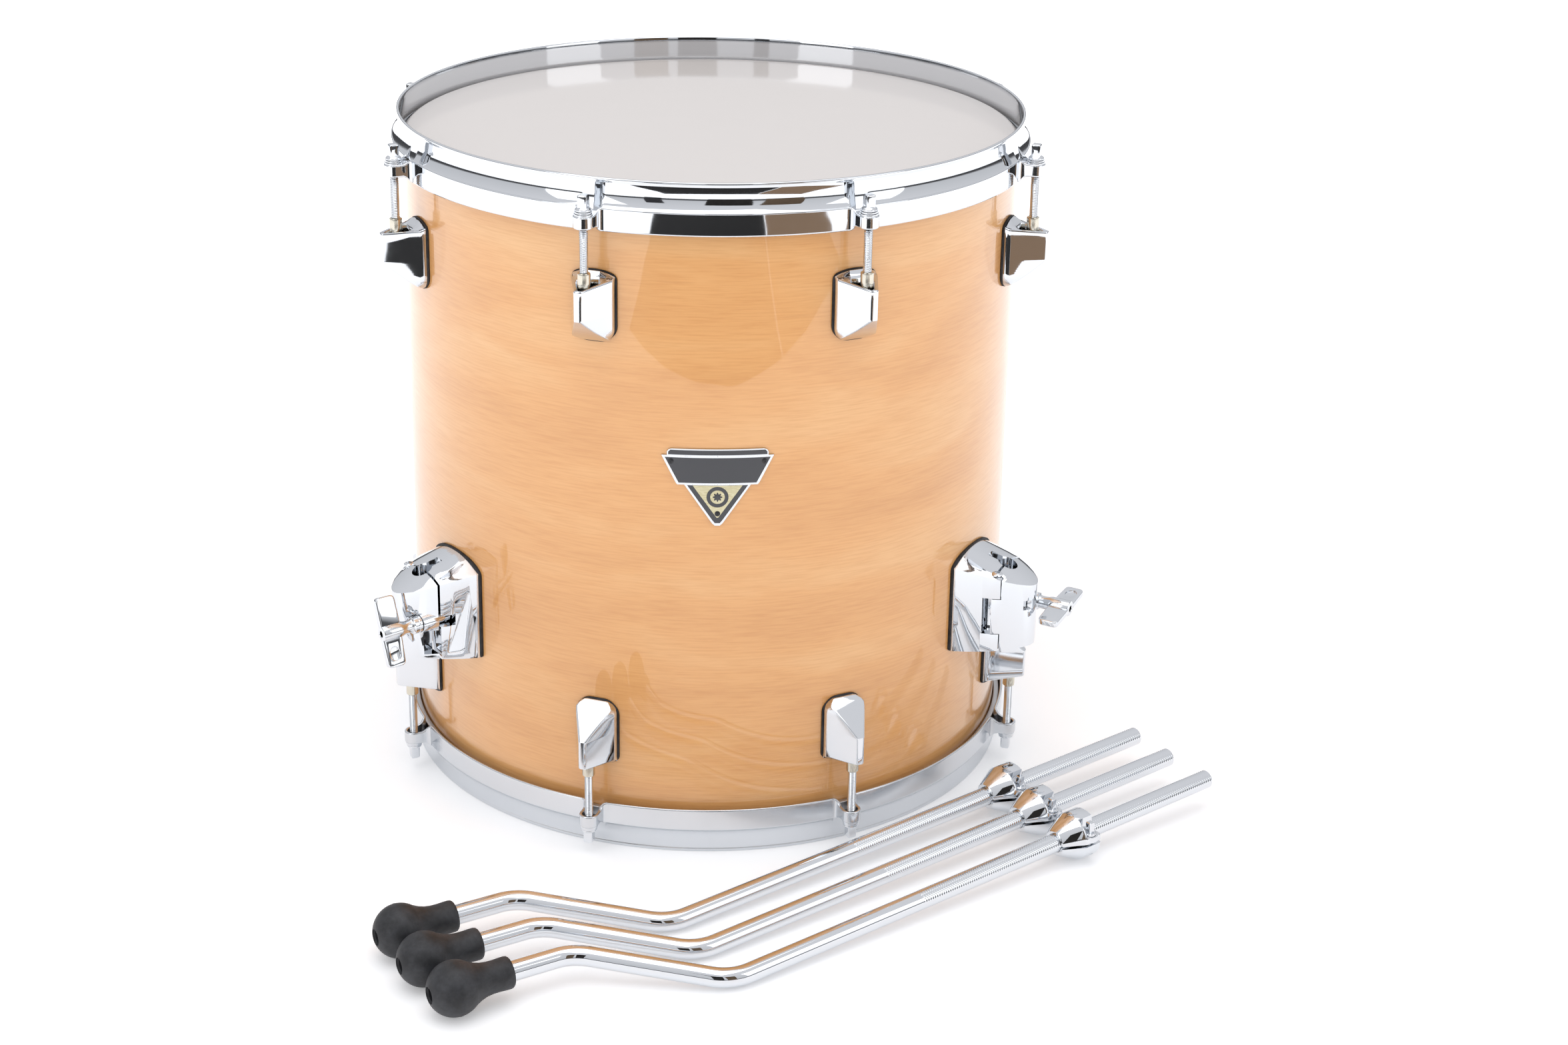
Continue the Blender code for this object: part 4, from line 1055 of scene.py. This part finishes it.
def wing_bolt():
    """The wing bolt about X: shank, two collar rings, waisted hub and two unlike wings."""
    profile = np.array([(0.2, 217.8), (2.7, 217.8), (2.9, 218.4), (2.9, 238.6), (5.5, 238.8), (5.75, 239.1),
                        (5.75, 240.6), (5.4, 240.9), (5.4, 241.2), (5.65, 241.5), (5.65, 243.9), (5.3, 244.3),
                        (4.5, 244.7), (4.2, 245.6), (4.2, 249.0), (4.6, 251.0), (5.0, 252.4), (5.15, 253.8),
                        (5.15, 265.3), (4.9, 265.9), (4.3, 266.2), (2.4, 266.3), (2.0, 265.9), (1.9, 261.0),
                        (0.2, 261.0)]) * MM
    hub = surface(turned_points(revolve(profile, 36), Matrix.Rotation(math.pi / 2, 4, "Y")))
    big = [(252.4, 2.0), (266.6, 2.0), (266.7, 23.0), (253.2, 23.0)]
    small = [(253.6, -22.5), (266.0, -22.5), (266.5, -2.0), (252.6, -2.0)]
    wings = []
    for corners, radius in ((big, 3.6), (small, 3.2)):
        outline = softened(np.array(corners) * MM, radius * MM, 5)
        plate = slab(outline, -2.1 * MM, 2.1 * MM, 0.9 * MM, 5)
        wings.append(surface(np.stack([plate[..., 0], -plate[..., 2], plate[..., 1]], axis=2)))
    dimple = bar((0.0, -5 * MM, 0.0), (0.0, 5 * MM, 0.0), 3.6 * MM, 28)
    dimple.transform(Matrix.Translation((260.0 * MM, 0.0, -14.0 * MM)) @ Matrix.Scale(1.25, 4, (0, 0, 1)))
    recess = block((250 * MM, -1.2 * MM, -30 * MM), (270 * MM, 1.2 * MM, 0.0))
    dimple = combined(dimple, recess)
    wings[1] = bevelled(combined(wings[1], dimple), 0.3 * MM, 2, 40.0)
    return joined(hub, *wings)


# ---------------------------------------------------------------- legs

def leg_path():
    """The leg's centre line in its plane, from the knurl's start to its lower end, arcs at the bends."""
    first, second = (math.radians(a) for a in LEG_BENDS)
    bend = np.array([-math.cos(first), math.sin(first)]) * LEG_MIDDLE
    end = bend + np.array([-math.cos(second), math.sin(second)]) * LEG_LOWER
    corners = [np.array([LEG_KNURL_FROM, 0.0]), np.array([0.0, 0.0]), bend, end]
    path = [corners[0]]
    for before, corner, after in zip(corners, corners[1:], corners[2:]):
        back = (before - corner) / np.linalg.norm(before - corner)
        ahead = (after - corner) / np.linalg.norm(after - corner)
        half = math.acos(float(back @ ahead)) / 2
        centre = corner + (back + ahead) / np.linalg.norm(back + ahead) * LEG_BEND_RADIUS / math.sin(half)
        start = corner + back * LEG_BEND_RADIUS / math.tan(half) - centre
        sense = math.copysign(1.0, start[0] * (corner - centre)[1] - start[1] * (corner - centre)[0])
        swing = sense * np.linspace(0.0, math.pi - 2 * half, 20)
        path += [centre + np.array([start[0] * math.cos(a) - start[1] * math.sin(a),
                                    start[0] * math.sin(a) + start[1] * math.cos(a)]) for a in swing]
    return np.array(path + [corners[-1]])


def leg_smooth():
    """The smooth part of a leg: a circle carried along its path, square to it."""
    path = leg_path()
    along = np.gradient(path, axis=0)
    along /= np.linalg.norm(along, axis=1, keepdims=True)
    across = np.stack([-along[:, 1], along[:, 0]], axis=1)
    angle = np.linspace(0.0, 2 * np.pi, 40, endpoint=False)
    flat = path[None] + LEG_RADIUS * np.cos(angle)[:, None, None] * across[None]
    height = np.broadcast_to(LEG_RADIUS * np.sin(angle)[:, None], flat.shape[:2])
    return surface(np.concatenate([flat, height[..., None]], axis=2))


def leg_knurl():
    """The knurled part: radius plus a diamond relief, the lesser of two crossed triangle waves.

    The real knurl is about 1 mm from point to point; this one is 1.7 mm, so that it shows.
    """
    around, sides = 22, 110
    step = 2 * np.pi * LEG_RADIUS / around
    rows = int((LEG_UPPER - LEG_KNURL_FROM) / step * 5)
    x = np.linspace(LEG_KNURL_FROM, LEG_UPPER, rows)[None]
    angle = np.linspace(0.0, 2 * np.pi, sides, endpoint=False)[:, None]

    def wave(phase):
        return 2 * np.abs(phase - np.floor(phase + 0.5))

    turns = angle / (2 * np.pi) * around
    relief = np.minimum(wave(turns + x / step), wave(turns - x / step))
    fade = np.clip(np.minimum(x - LEG_KNURL_FROM, LEG_UPPER - x) / (1.5 * MM), 0.0, 1.0)
    chamfer = np.clip((x - LEG_UPPER + 0.9 * MM) / (0.9 * MM), 0.0, 1.0) * 0.8 * MM
    r = LEG_RADIUS - 0.13 * MM + 0.22 * MM * relief * fade - chamfer
    return surface(np.stack([x + 0 * angle, r * np.cos(angle), r * np.sin(angle)], axis=2))


def foot_mesh():
    """A rubber foot: a flared neck, a waist and a ball, with the hole in its tip and a faint mould seam."""
    middle = 34.3
    ball = [(16.2 * math.cos(a), middle + 16.2 * math.sin(a)) for a in np.radians(np.linspace(-38, 72, 30))]
    ball = [(r + (0.14 if abs(z - middle) < 0.35 else 0.0), z) for r, z in ball]
    neck = [(6.4, 0.4), (7.6, 0.0), (8.7, 0.15), (9.3, 0.8), (9.55, 2.0), (9.5, 5.0), (9.3, 9.0),
            (9.35, 13.0), (9.9, 17.0), (11.0, 20.6)]
    tip = [(4.6, 48.5), (4.25, 48.3), (4.15, 47.5), (4.15, 40.0)]
    profile = np.array(neck + ball + tip) * MM
    points = revolve(profile, 64)
    first, second = (math.radians(a) for a in LEG_BENDS)
    bend = Vector((-math.cos(first), math.sin(first), 0.0)) * LEG_MIDDLE
    along = Vector((-math.cos(second), math.sin(second), 0.0))
    turn = along.to_track_quat("Z", "Y").to_matrix().to_4x4()
    start = bend + along * (87.5 - 48.5) * MM
    return surface(turned_points(points, Matrix.Translation(start) @ turn))


def lock_frame():
    """The lock on its leg: X along the rod, Z up and Y away from the front."""
    return Matrix.Translation((LOCK_AT, 0.0, 0.0)) @ Matrix.Rotation(-math.radians(LEG_ROLL), 4, "X")


def lock_mesh():
    """A memory lock: a cone and a band, with its slit and the clamping ear that the screw stands on."""
    profile = np.array([(6.1, -13.0), (7.9, -13.0), (8.5, -12.5), (15.0, 0.0), (15.5, 1.0), (15.5, 12.1),
                        (14.8, 12.9), (13.8, 13.0), (6.1, 13.0)]) * MM
    body = surface(revolve(profile, 72), loop=True)
    body.transform(Matrix.Rotation(math.pi / 2, 4, "Y"))
    slit = block((-0.02, -0.03, -1.0 * MM), (0.02, -4 * MM, 1.0 * MM))
    body = combined(body, slit)
    shelf = block((1.6 * MM, -30 * MM, 4.6 * MM), (20 * MM, -6.0 * MM, 20 * MM))
    body = combined(body, shelf)
    ear = bar((7.0 * MM, -11.0 * MM, 1.1 * MM), (7.0 * MM, -11.0 * MM, 4.7 * MM), 5.3 * MM, 28)
    body = combined(body, ear, "UNION")
    hole = bar((7.0 * MM, -11.0 * MM, -20 * MM), (7.0 * MM, -11.0 * MM, 20 * MM), 2.1 * MM, 20)
    body = combined(body, hole)
    mesh = bevelled(body, 0.35 * MM, 2, 40.0)
    mesh.transform(lock_frame())
    return mesh


def lock_screw_mesh():
    """The lock's screw: a shank, a flange and a square key head."""
    profile = [(0.1, -8.4), (1.6, -8.4), (1.8, -8.0), (1.8, 4.8), (3.9, 4.8), (4.1, 5.1), (4.0, 5.9),
               (3.4, 6.5), (0.1, 6.6)]
    shank = surface(revolve(np.array(profile) * MM, 28))
    rings = [np.column_stack([square(2.1 * MM * k, 0.5 * MM * k), np.full(20, z * MM)])
             for k, z in ((1.0, 6.2), (1.0, 12.4), (0.93, 13.1), (0.7, 13.5))]
    head = surface(np.stack(rings, axis=1))
    mesh = joined(shank, head)
    mesh.transform(lock_frame() @ Matrix.Translation((7.0 * MM, -11.0 * MM, 0.0)))
    return mesh


# ---------------------------------------------------------------- badge

def bent_plate(half_width, low, high, near, far, edge, rows=14, columns=33):
    """A plate bent round the shell: x runs over plus and minus half_width(z), thick from near to far.

    The outline is walked as rows of z with columns of x; the surface goes over the front, rounds each
    side by edge and comes back behind, so that a row is a closed ring.
    """
    z = np.linspace(low, high, rows)[None]
    q = np.linspace(-1.0, 1.0, columns)[:, None]
    half = half_width(z)
    front = q * (half - edge)
    back = -q * half
    x = np.vstack([front, back])
    r = np.vstack([np.full((columns, rows), far), np.full((columns, rows), near)])
    angle = x / SHELL_RADIUS
    return surface(np.stack([r * np.cos(angle), r * np.sin(angle), z + 0 * x], axis=2))


# ---------------------------------------------------------------- settings

def hex_setting(name, description, default):
    """A string setting that holds an sRGB hex colour."""
    return bpy.props.StringProperty(name=name, description=description, default=default)


class TomShellSettings(bpy.types.PropertyGroup):
    """The shell's veneer."""

    colour_hex: hex_setting("Veneer", "Mid tone of the maple veneer, as an sRGB hex colour", "#E8AC6C")


class TomHeadSettings(bpy.types.PropertyGroup):
    """The two heads."""

    haze: bpy.props.FloatProperty(
        name="Haze", description="How much of what lies behind the film it hides", default=0.86,
        min=0.0, max=1.0, subtype="FACTOR")


class TomStageSettings(bpy.types.PropertyGroup):
    """Camera, floor and lights."""

    focal_length: bpy.props.FloatProperty(
        name="Focal length", description="Of the camera, on a 36 mm wide sensor", default=58.55,
        unit="CAMERA")
    floor_hex: hex_setting("Floor", "Colour of the pale floor, as an sRGB hex colour", "#F6F6F7")
    key_power: bpy.props.FloatProperty(
        name="Key power", description="Power of the overhead soft box", default=22.0, unit="POWER")


# ---------------------------------------------------------------- operators

class TOM_OT_shell(bpy.types.Operator):
    """Make the maple shell with its two finishes"""

    bl_idname = "tom.shell"
    bl_label = "Shell"

    def execute(self, context):
        piece("maple_shell", shell_mesh(), [lacquered_maple(), raw_maple()], "drum_shell",
              Matrix.Translation(AXIS), ["shell"])
        return {"FINISHED"}


class TOM_OT_heads(bpy.types.Operator):
    """Make the film and the flesh hoop of both heads"""

    bl_idname = "tom.heads"
    bl_label = "Heads"

    def execute(self, context):
        for end in ("top", "bottom"):
            body = f"{end}_hoop_and_head"
            place = end_frame(end, 90.0)
            piece(f"{end}_head_film", film_mesh(), head_film(), body, place, [f"{end}_head"])
            piece(f"{end}_flesh_hoop", flesh_hoop_mesh(), raw_aluminium(), body, place)
        return {"FINISHED"}


class TOM_OT_hoops(bpy.types.Operator):
    """Make both pressed hoops with their eight ears"""

    bl_idname = "tom.hoops"
    bl_label = "Hoops"

    def execute(self, context):
        for end, finish in (("top", polished_chrome()), ("bottom", satin_chrome())):
            piece(f"{end}_pressed_hoop", hoop_mesh(), finish, f"{end}_hoop_and_head",
                  end_frame(end, 22.5), [f"{end}_hoop"], sharp=50.0)
        return {"FINISHED"}


class TOM_OT_tension_rods(bpy.types.Operator):
    """Make the tension rods and their washers"""

    bl_idname = "tom.tension_rods"
    bl_label = "Tension rods"

    def execute(self, context):
        rod, washers = tension_rod_mesh(), washers_mesh()
        for end in ("top", "bottom"):
            for number, azimuth in enumerate(rod_azimuths(), 1):
                place = end_frame(end, azimuth)
                piece(f"{end}_key_rod_{number}", rod.copy(), [polished_chrome(), zinc_steel()],
                      f"{end}_rod_{number}", place, [f"{end}_tension_rod_{number}"])
                piece(f"{end}_washers_{number}", washers.copy(), polished_chrome(), f"{end}_hoop_and_head",
                      place)
        return {"FINISHED"}


class TOM_OT_lugs(bpy.types.Operator):
    """Make the lugs with their gaskets, swivel nuts and inner screws"""

    bl_idname = "tom.lugs"
    bl_label = "Lugs"

    def execute(self, context):
        meshes = {
            "cast_lug": (lug_mesh(), polished_chrome()),
            "lug_gasket": (lug_gasket_mesh(), gasket_rubber()),
            "swivel_nut": (swivel_nut_mesh(), nickel_brass()),
            "lug_screws": (lug_screws_mesh(), zinc_steel()),
        }
        for end in ("top", "bottom"):
            for number, azimuth in enumerate(rod_azimuths(), 1):
                for name, (mesh, finish) in meshes.items():
                    stands_for = [f"{end}_lug_{number}"] if name == "cast_lug" else []
                    piece(f"{end}_{name}_{number}", mesh.copy(), finish, "drum_shell",
                          end_frame(end, azimuth), stands_for)
        return {"FINISHED"}


class TOM_OT_brackets(bpy.types.Operator):
    """Make the three hinged leg brackets with gaskets, pins and wing bolts"""

    bl_idname = "tom.brackets"
    bl_label = "Leg brackets"

    def execute(self, context):
        chrome = polished_chrome()
        base, door, gasket = bracket_base(), bracket_door(), bracket_gasket()
        pin, bolt = hinge_pin(), wing_bolt()
        bolt_axis = Matrix.Translation((0.0, *BOLT_AT))
        for number, (azimuth, turn) in enumerate(zip(BRACKETS, WING_TURNS), 1):
            place = radial(azimuth)
            turned = place @ bolt_axis @ Matrix.Rotation(math.radians(turn), 4, "X")
            for name, mesh, finish, body, where, stands_for in (
                    ("bracket_half", base, chrome, "drum_shell", place, ["bracket_base"]),
                    ("bracket_gasket", gasket, gasket_rubber(), "drum_shell", place, []),
                    ("hinge_pin", pin, chrome, "drum_shell", place, []),
                    ("bracket_gate", door, chrome, f"door_{number}", place, ["bracket_door"]),
                    ("winged_bolt", bolt, chrome, f"bolt_{number}", turned, ["wing_bolt"])):
                piece(f"{name}_{number}", mesh.copy(), finish, body, where,
                      [f"{node_name}_{number}" for node_name in stands_for])
        return {"FINISHED"}


class TOM_OT_legs(bpy.types.Operator):
    """Make the three legs with their feet, memory locks and lock screws"""

    bl_idname = "tom.legs"
    bl_label = "Legs"

    def execute(self, context):
        smooth, knurl = mark_material(leg_smooth(), 0), mark_material(leg_knurl(), 1)
        rod, foot, lock, screw = joined(smooth, knurl), foot_mesh(), lock_mesh(), lock_screw_mesh()
        for number in (1, 2, 3):
            place = leg_frame(number)
            body = f"leg_assembly_{number}"
            for name, mesh, finish, rides_on, slot, stands_for in (
                    ("leg_rod", rod, [polished_chrome(), knurled_chrome()], body, "leg_steel", "leg"),
                    ("rubber_foot", foot, foot_rubber(), body, "foot_rubber", "leg_foot"),
                    ("cone_lock", lock, polished_chrome(), f"lock_{number}", "chrome_fittings", "memory_lock"),
                    ("lock_key_screw", screw, polished_chrome(), f"lock_screw_body_{number}", "chrome_fittings",
                     "lock_screw")):
                piece(f"{name}_{number}", mesh.copy(), finish, rides_on, place,
                      [f"{stands_for}_{number}"])
        return {"FINISHED"}


class TOM_OT_badge(bpy.types.Operator):
    """Make the plain bordered badge, its emblem and its screws"""

    bl_idname = "tom.badge"
    bl_label = "Badge"

    def execute(self, context):
        face = SHELL_RADIUS + 1.2 * MM
        near = SHELL_RADIUS + 0.15 * MM

        def plate(stations, rise, edge=0.1, rows=14):
            """A plate whose half width is given in millimetres at heights in millimetres."""
            heights, halves = (np.array(values) * MM for values in zip(*stations))
            return bent_plate(lambda z: np.interp(z, heights, halves), heights[0], heights[-1], near,
                              face + rise * MM, edge * MM, rows)

        borders = [
            plate([(250.2, 24.6), (250.6, 25.1), (268.3, 33.9), (268.9, 34.2)], 0.0, 0.3),
            plate([(268.5, 30.8), (271.2, 30.8), (272.6, 29.8), (273.2, 28.0)], 0.0, 0.3),
            plate([(223.7, 1.8), (224.4, 2.9), (226.0, 4.0), (250.6, 20.6)], 0.0, 0.3, 20),
        ]
        fields = [
            plate([(251.4, 23.5), (267.6, 31.9)], 0.10),
            plate([(269.4, 29.9), (271.2, 29.8), (272.4, 28.6)], 0.10),
            plate([(225.4, 1.6), (227.0, 2.9), (249.9, 18.4)], 0.10),
        ]
        gilt = [plate([(229.0, 0.6), (249.9, 15.1)], 0.17)]
        place = radial(-1.1)
        emblem = revolve(np.array([(4.4, 0.0), (4.5, 0.35), (6.6, 0.35), (6.7, 0.0)]) * MM, 40)
        lobes = revolve(np.array([(0.1, 0.35), (1.6, 0.35), (3.0, 0.25), (3.1, 0.0)]) * MM, 48)
        petals = 0.80 + 0.20 * np.cos(8 * np.linspace(0.0, 2 * np.pi, 48, endpoint=False))
        lobes[..., :2] *= petals[:, None, None]
        dome = [(0.1, 0.35), (0.5, 0.35), (0.55, 0.6), (1.2, 0.55), (1.7, 0.25), (1.75, 0.0)]
        screw = revolve(np.array(dome) * MM, 24)

        def put(points, across, height):
            """A turned form standing out of the badge's face."""
            spin = Matrix.Rotation(across * MM / SHELL_RADIUS, 4, "Z")
            lay = Matrix.Translation((face + 0.1 * MM, 0.0, height * MM))
            return surface(turned_points(points, spin @ lay @ Matrix.Rotation(math.pi / 2, 4, "Y")))

        marks = [put(emblem, 0.0, 242.4), put(lobes, 0.0, 242.4)]
        screw_places = ((-28.2, 265.2), (28.2, 265.2), (0.0, 231.6))
        screws = [put(screw, across, height) for across, height in screw_places]
        for name, bodies, finish, stands_for in (
                ("badge_plate", borders, polished_chrome(), ["badge"]),
                ("badge_fields", fields, badge_enamel(), []),
                ("badge_gilt_field", gilt, badge_gilt(), []),
                ("badge_emblem", marks, badge_enamel(), []),
                ("badge_screws", screws, dark_steel(), [])):
            piece(name, joined(*bodies), finish, "drum_shell", place.copy(), stands_for)
        return {"FINISHED"}


class TOM_OT_stage(bpy.types.Operator):
    """Set up the pale floor, the soft studio light and the camera"""

    bl_idname = "tom.stage"
    bl_label = "Stage"

    def execute(self, context):
        look = context.scene.tom_stage
        make_floor(look.floor_hex)
        make_lights(look.key_power)
        make_world()
        make_camera(look.focal_length)
        context.scene.view_settings.view_transform = "Standard"
        return {"FINISHED"}


def make_floor(colour):
    """A wide pale sheet that the drum stands on, with painted glow: its emission is weak near the drum, which
    leaves painted shade round it, and grows brighter away from the drum.
    """
    corners = np.array([(-6.0, -5.0, 0.0), (6.0, -5.0, 0.0), (6.0, 6.0, 0.0), (-6.0, 6.0, 0.0)])
    mesh = bpy.data.meshes.new("floor")
    mesh.from_pydata(corners.tolist(), [], [(0, 1, 2, 3)])
    material, shader = finish_named("pale floor with painted glow", Base_Color=rgba(colour), Roughness=0.55,
                                    Emission_Color=(1.0, 1.0, 1.0, 1.0))
    place = node(material, "ShaderNodeTexCoord").outputs["Object"]
    # Painted glow and shade: emission strength grows with distance from the origin, from 0.22 near the drum to
    # 0.7 further out, so the floor round the drum is darker.
    away = node(material, "ShaderNodeVectorMath", operation="LENGTH")
    material.node_tree.links.new(place, away.inputs[0])
    painted_floor_glow = node(material, "ShaderNodeMapRange",
                {"Value": away.outputs["Value"], "From Min": 0.3, "From Max": 1.8,
                 "To Min": 0.22, "To Max": 0.7})
    material.node_tree.links.new(painted_floor_glow.outputs[0], shader.inputs["Emission Strength"])
    mesh.materials.append(material)
    floor = bpy.data.objects.new("floor", mesh)
    bpy.context.scene.collection.objects.link(floor)


def soft_box(name, place, aim, size, power):
    """A rectangular area light at a place, facing a point."""
    light = bpy.data.lights.new(name, "AREA")
    light.shape = "RECTANGLE"
    light.size, light.size_y = size
    light.energy = power
    made = bpy.data.objects.new(name, light)
    made.location = place
    made.rotation_euler = (Vector(place) - Vector(aim)).to_track_quat("Z", "Y").to_euler()
    bpy.context.scene.collection.objects.link(made)
    return made


def flag(name, place, aim, size, colour):
    """A dark card that only shows in reflections, as studio flags shape the light on chrome."""
    x, y = size[0] / 2, size[1] / 2
    mesh = bpy.data.meshes.new(name)
    mesh.from_pydata([(-x, -y, 0.0), (x, -y, 0.0), (x, y, 0.0), (-x, y, 0.0)], [], [(0, 1, 2, 3)])
    mesh.materials.append(finish_named(f"{name} cloth", Base_Color=rgba(colour), Roughness=0.9)[0])
    made = bpy.data.objects.new(name, mesh)
    made.location = place
    made.rotation_euler = (Vector(aim) - Vector(place)).to_track_quat("Z", "Y").to_euler()
    made.visible_camera = False
    made.visible_diffuse = False
    made.visible_shadow = False
    bpy.context.scene.collection.objects.link(made)


def make_lights(power):
    """A large soft box overhead, two at the front corners, flags by the camera and cards on the floor."""
    middle = (AXIS.x, AXIS.y, 0.22)
    soft_box("overhead_soft_box", (-0.2, -0.3, 2.6), middle, (2.4, 2.4), power)
    soft_box("left_soft_box", (-2.1, -1.7, 1.5), middle, (1.2, 1.8), power * 0.36)
    soft_box("right_soft_box", (2.2, -1.5, 1.4), middle, (1.2, 1.8), power * 0.30)
    flag("camera_side_flag", (0.15, -3.2, 1.1), middle, (0.9, 2.2), "#17120E")
    flag("warm_side_flag", (1.2, -3.0, 1.1), middle, (0.8, 2.2), "#5B4A38")
    flag("left_far_flag", (-1.3, -3.0, 0.9), middle, (0.35, 2.0), "#2A2A2C")
    flag("floor_card", (-0.15, -1.40, 0.004), (-0.15, -1.40, 1.0), (1.02, 0.80), "#100E0D")
    flag("brown_floor_card", (0.64, -1.40, 0.004), (0.64, -1.40, 1.0), (0.54, 0.80), "#8A6F55")


def make_world():
    """A white backdrop for the camera; for light and reflections a softer room, darker at the horizon."""
    world = bpy.data.worlds.new("white room")
    world.use_nodes = True
    bpy.context.scene.world = world
    direction = node(world, "ShaderNodeTexCoord").outputs["Generated"]
    height = node(world, "ShaderNodeSeparateXYZ", {"Vector": direction}).outputs["Z"]
    room = ramp(world, height, [(0.0, "#4A4A4C"), (0.06, "#5C5C5E"), (0.13, "#D6D7DA"), (0.8, "#EAEAED")])
    seen = node(world, "ShaderNodeLightPath").outputs["Is Camera Ray"]
    shown = node(world, "ShaderNodeMix", data_type="RGBA")
    shown.inputs[7].default_value = rgba("#FFFFFF")
    world.node_tree.links.new(seen, shown.inputs["Factor"])
    world.node_tree.links.new(room, shown.inputs[6])
    background = world.node_tree.nodes["Background"]
    world.node_tree.links.new(shown.outputs[2], background.inputs["Color"])


def make_camera(focal_length):
    """The camera in front and above: right, up and back axes from its yaw, pitch and roll."""
    yaw, pitch, roll = math.radians(4.32), math.radians(19.992), math.radians(1.078)
    ahead = Vector((math.sin(yaw) * math.cos(pitch), math.cos(yaw) * math.cos(pitch), -math.sin(pitch)))
    level = Vector((math.cos(yaw), -math.sin(yaw), 0.0))
    upward = level.cross(ahead)
    right = math.cos(roll) * level + math.sin(roll) * upward
    up = -math.sin(roll) * level + math.cos(roll) * upward
    data = bpy.data.cameras.new("camera")
    data.lens = focal_length
    data.sensor_width = 36.0
    data.shift_y = -0.0782
    data.clip_end = 50.0
    camera = bpy.data.objects.new("camera", data)
    place = AXIS + Vector((-72.4, -1627.2, 824.5)) * MM
    camera.matrix_world = Matrix.Translation(place) @ Matrix((right, up, -ahead)).transposed().to_4x4()
    bpy.context.scene.collection.objects.link(camera)
    bpy.context.scene.camera = camera


class TOM_PT_drum(bpy.types.Panel):
    """Lists the settings and the pieces in the sidebar"""

    bl_label = "Floor tom"
    bl_idname = "TOM_PT_drum"
    bl_space_type = "VIEW_3D"
    bl_region_type = "UI"
    bl_category = "Floor tom"

    def draw(self, context):
        layout = self.layout
        for settings in (context.scene.tom_shell, context.scene.tom_heads, context.scene.tom_stage):
            for name in settings.__annotations__:
                layout.prop(settings, name)
        for operator in PIECES:
            layout.operator(operator.bl_idname)


SETTINGS = {"tom_shell": TomShellSettings, "tom_heads": TomHeadSettings, "tom_stage": TomStageSettings}
PIECES = (TOM_OT_shell, TOM_OT_heads, TOM_OT_hoops, TOM_OT_tension_rods, TOM_OT_lugs, TOM_OT_brackets,
          TOM_OT_legs, TOM_OT_badge, TOM_OT_stage)


def register():
    for name, group in SETTINGS.items():
        bpy.utils.register_class(group)
        setattr(bpy.types.Scene, name, bpy.props.PointerProperty(type=group))
    for operator in PIECES:
        bpy.utils.register_class(operator)
    bpy.utils.register_class(TOM_PT_drum)


def unregister():
    bpy.utils.unregister_class(TOM_PT_drum)
    for operator in reversed(PIECES):
        bpy.utils.unregister_class(operator)
    for name, group in SETTINGS.items():
        delattr(bpy.types.Scene, name)
        bpy.utils.unregister_class(group)


def main():
    register()
    for operator in PIECES:
        group, name = operator.bl_idname.split(".")
        getattr(getattr(bpy.ops, group), name)()


if __name__ == "__main__":
    main()
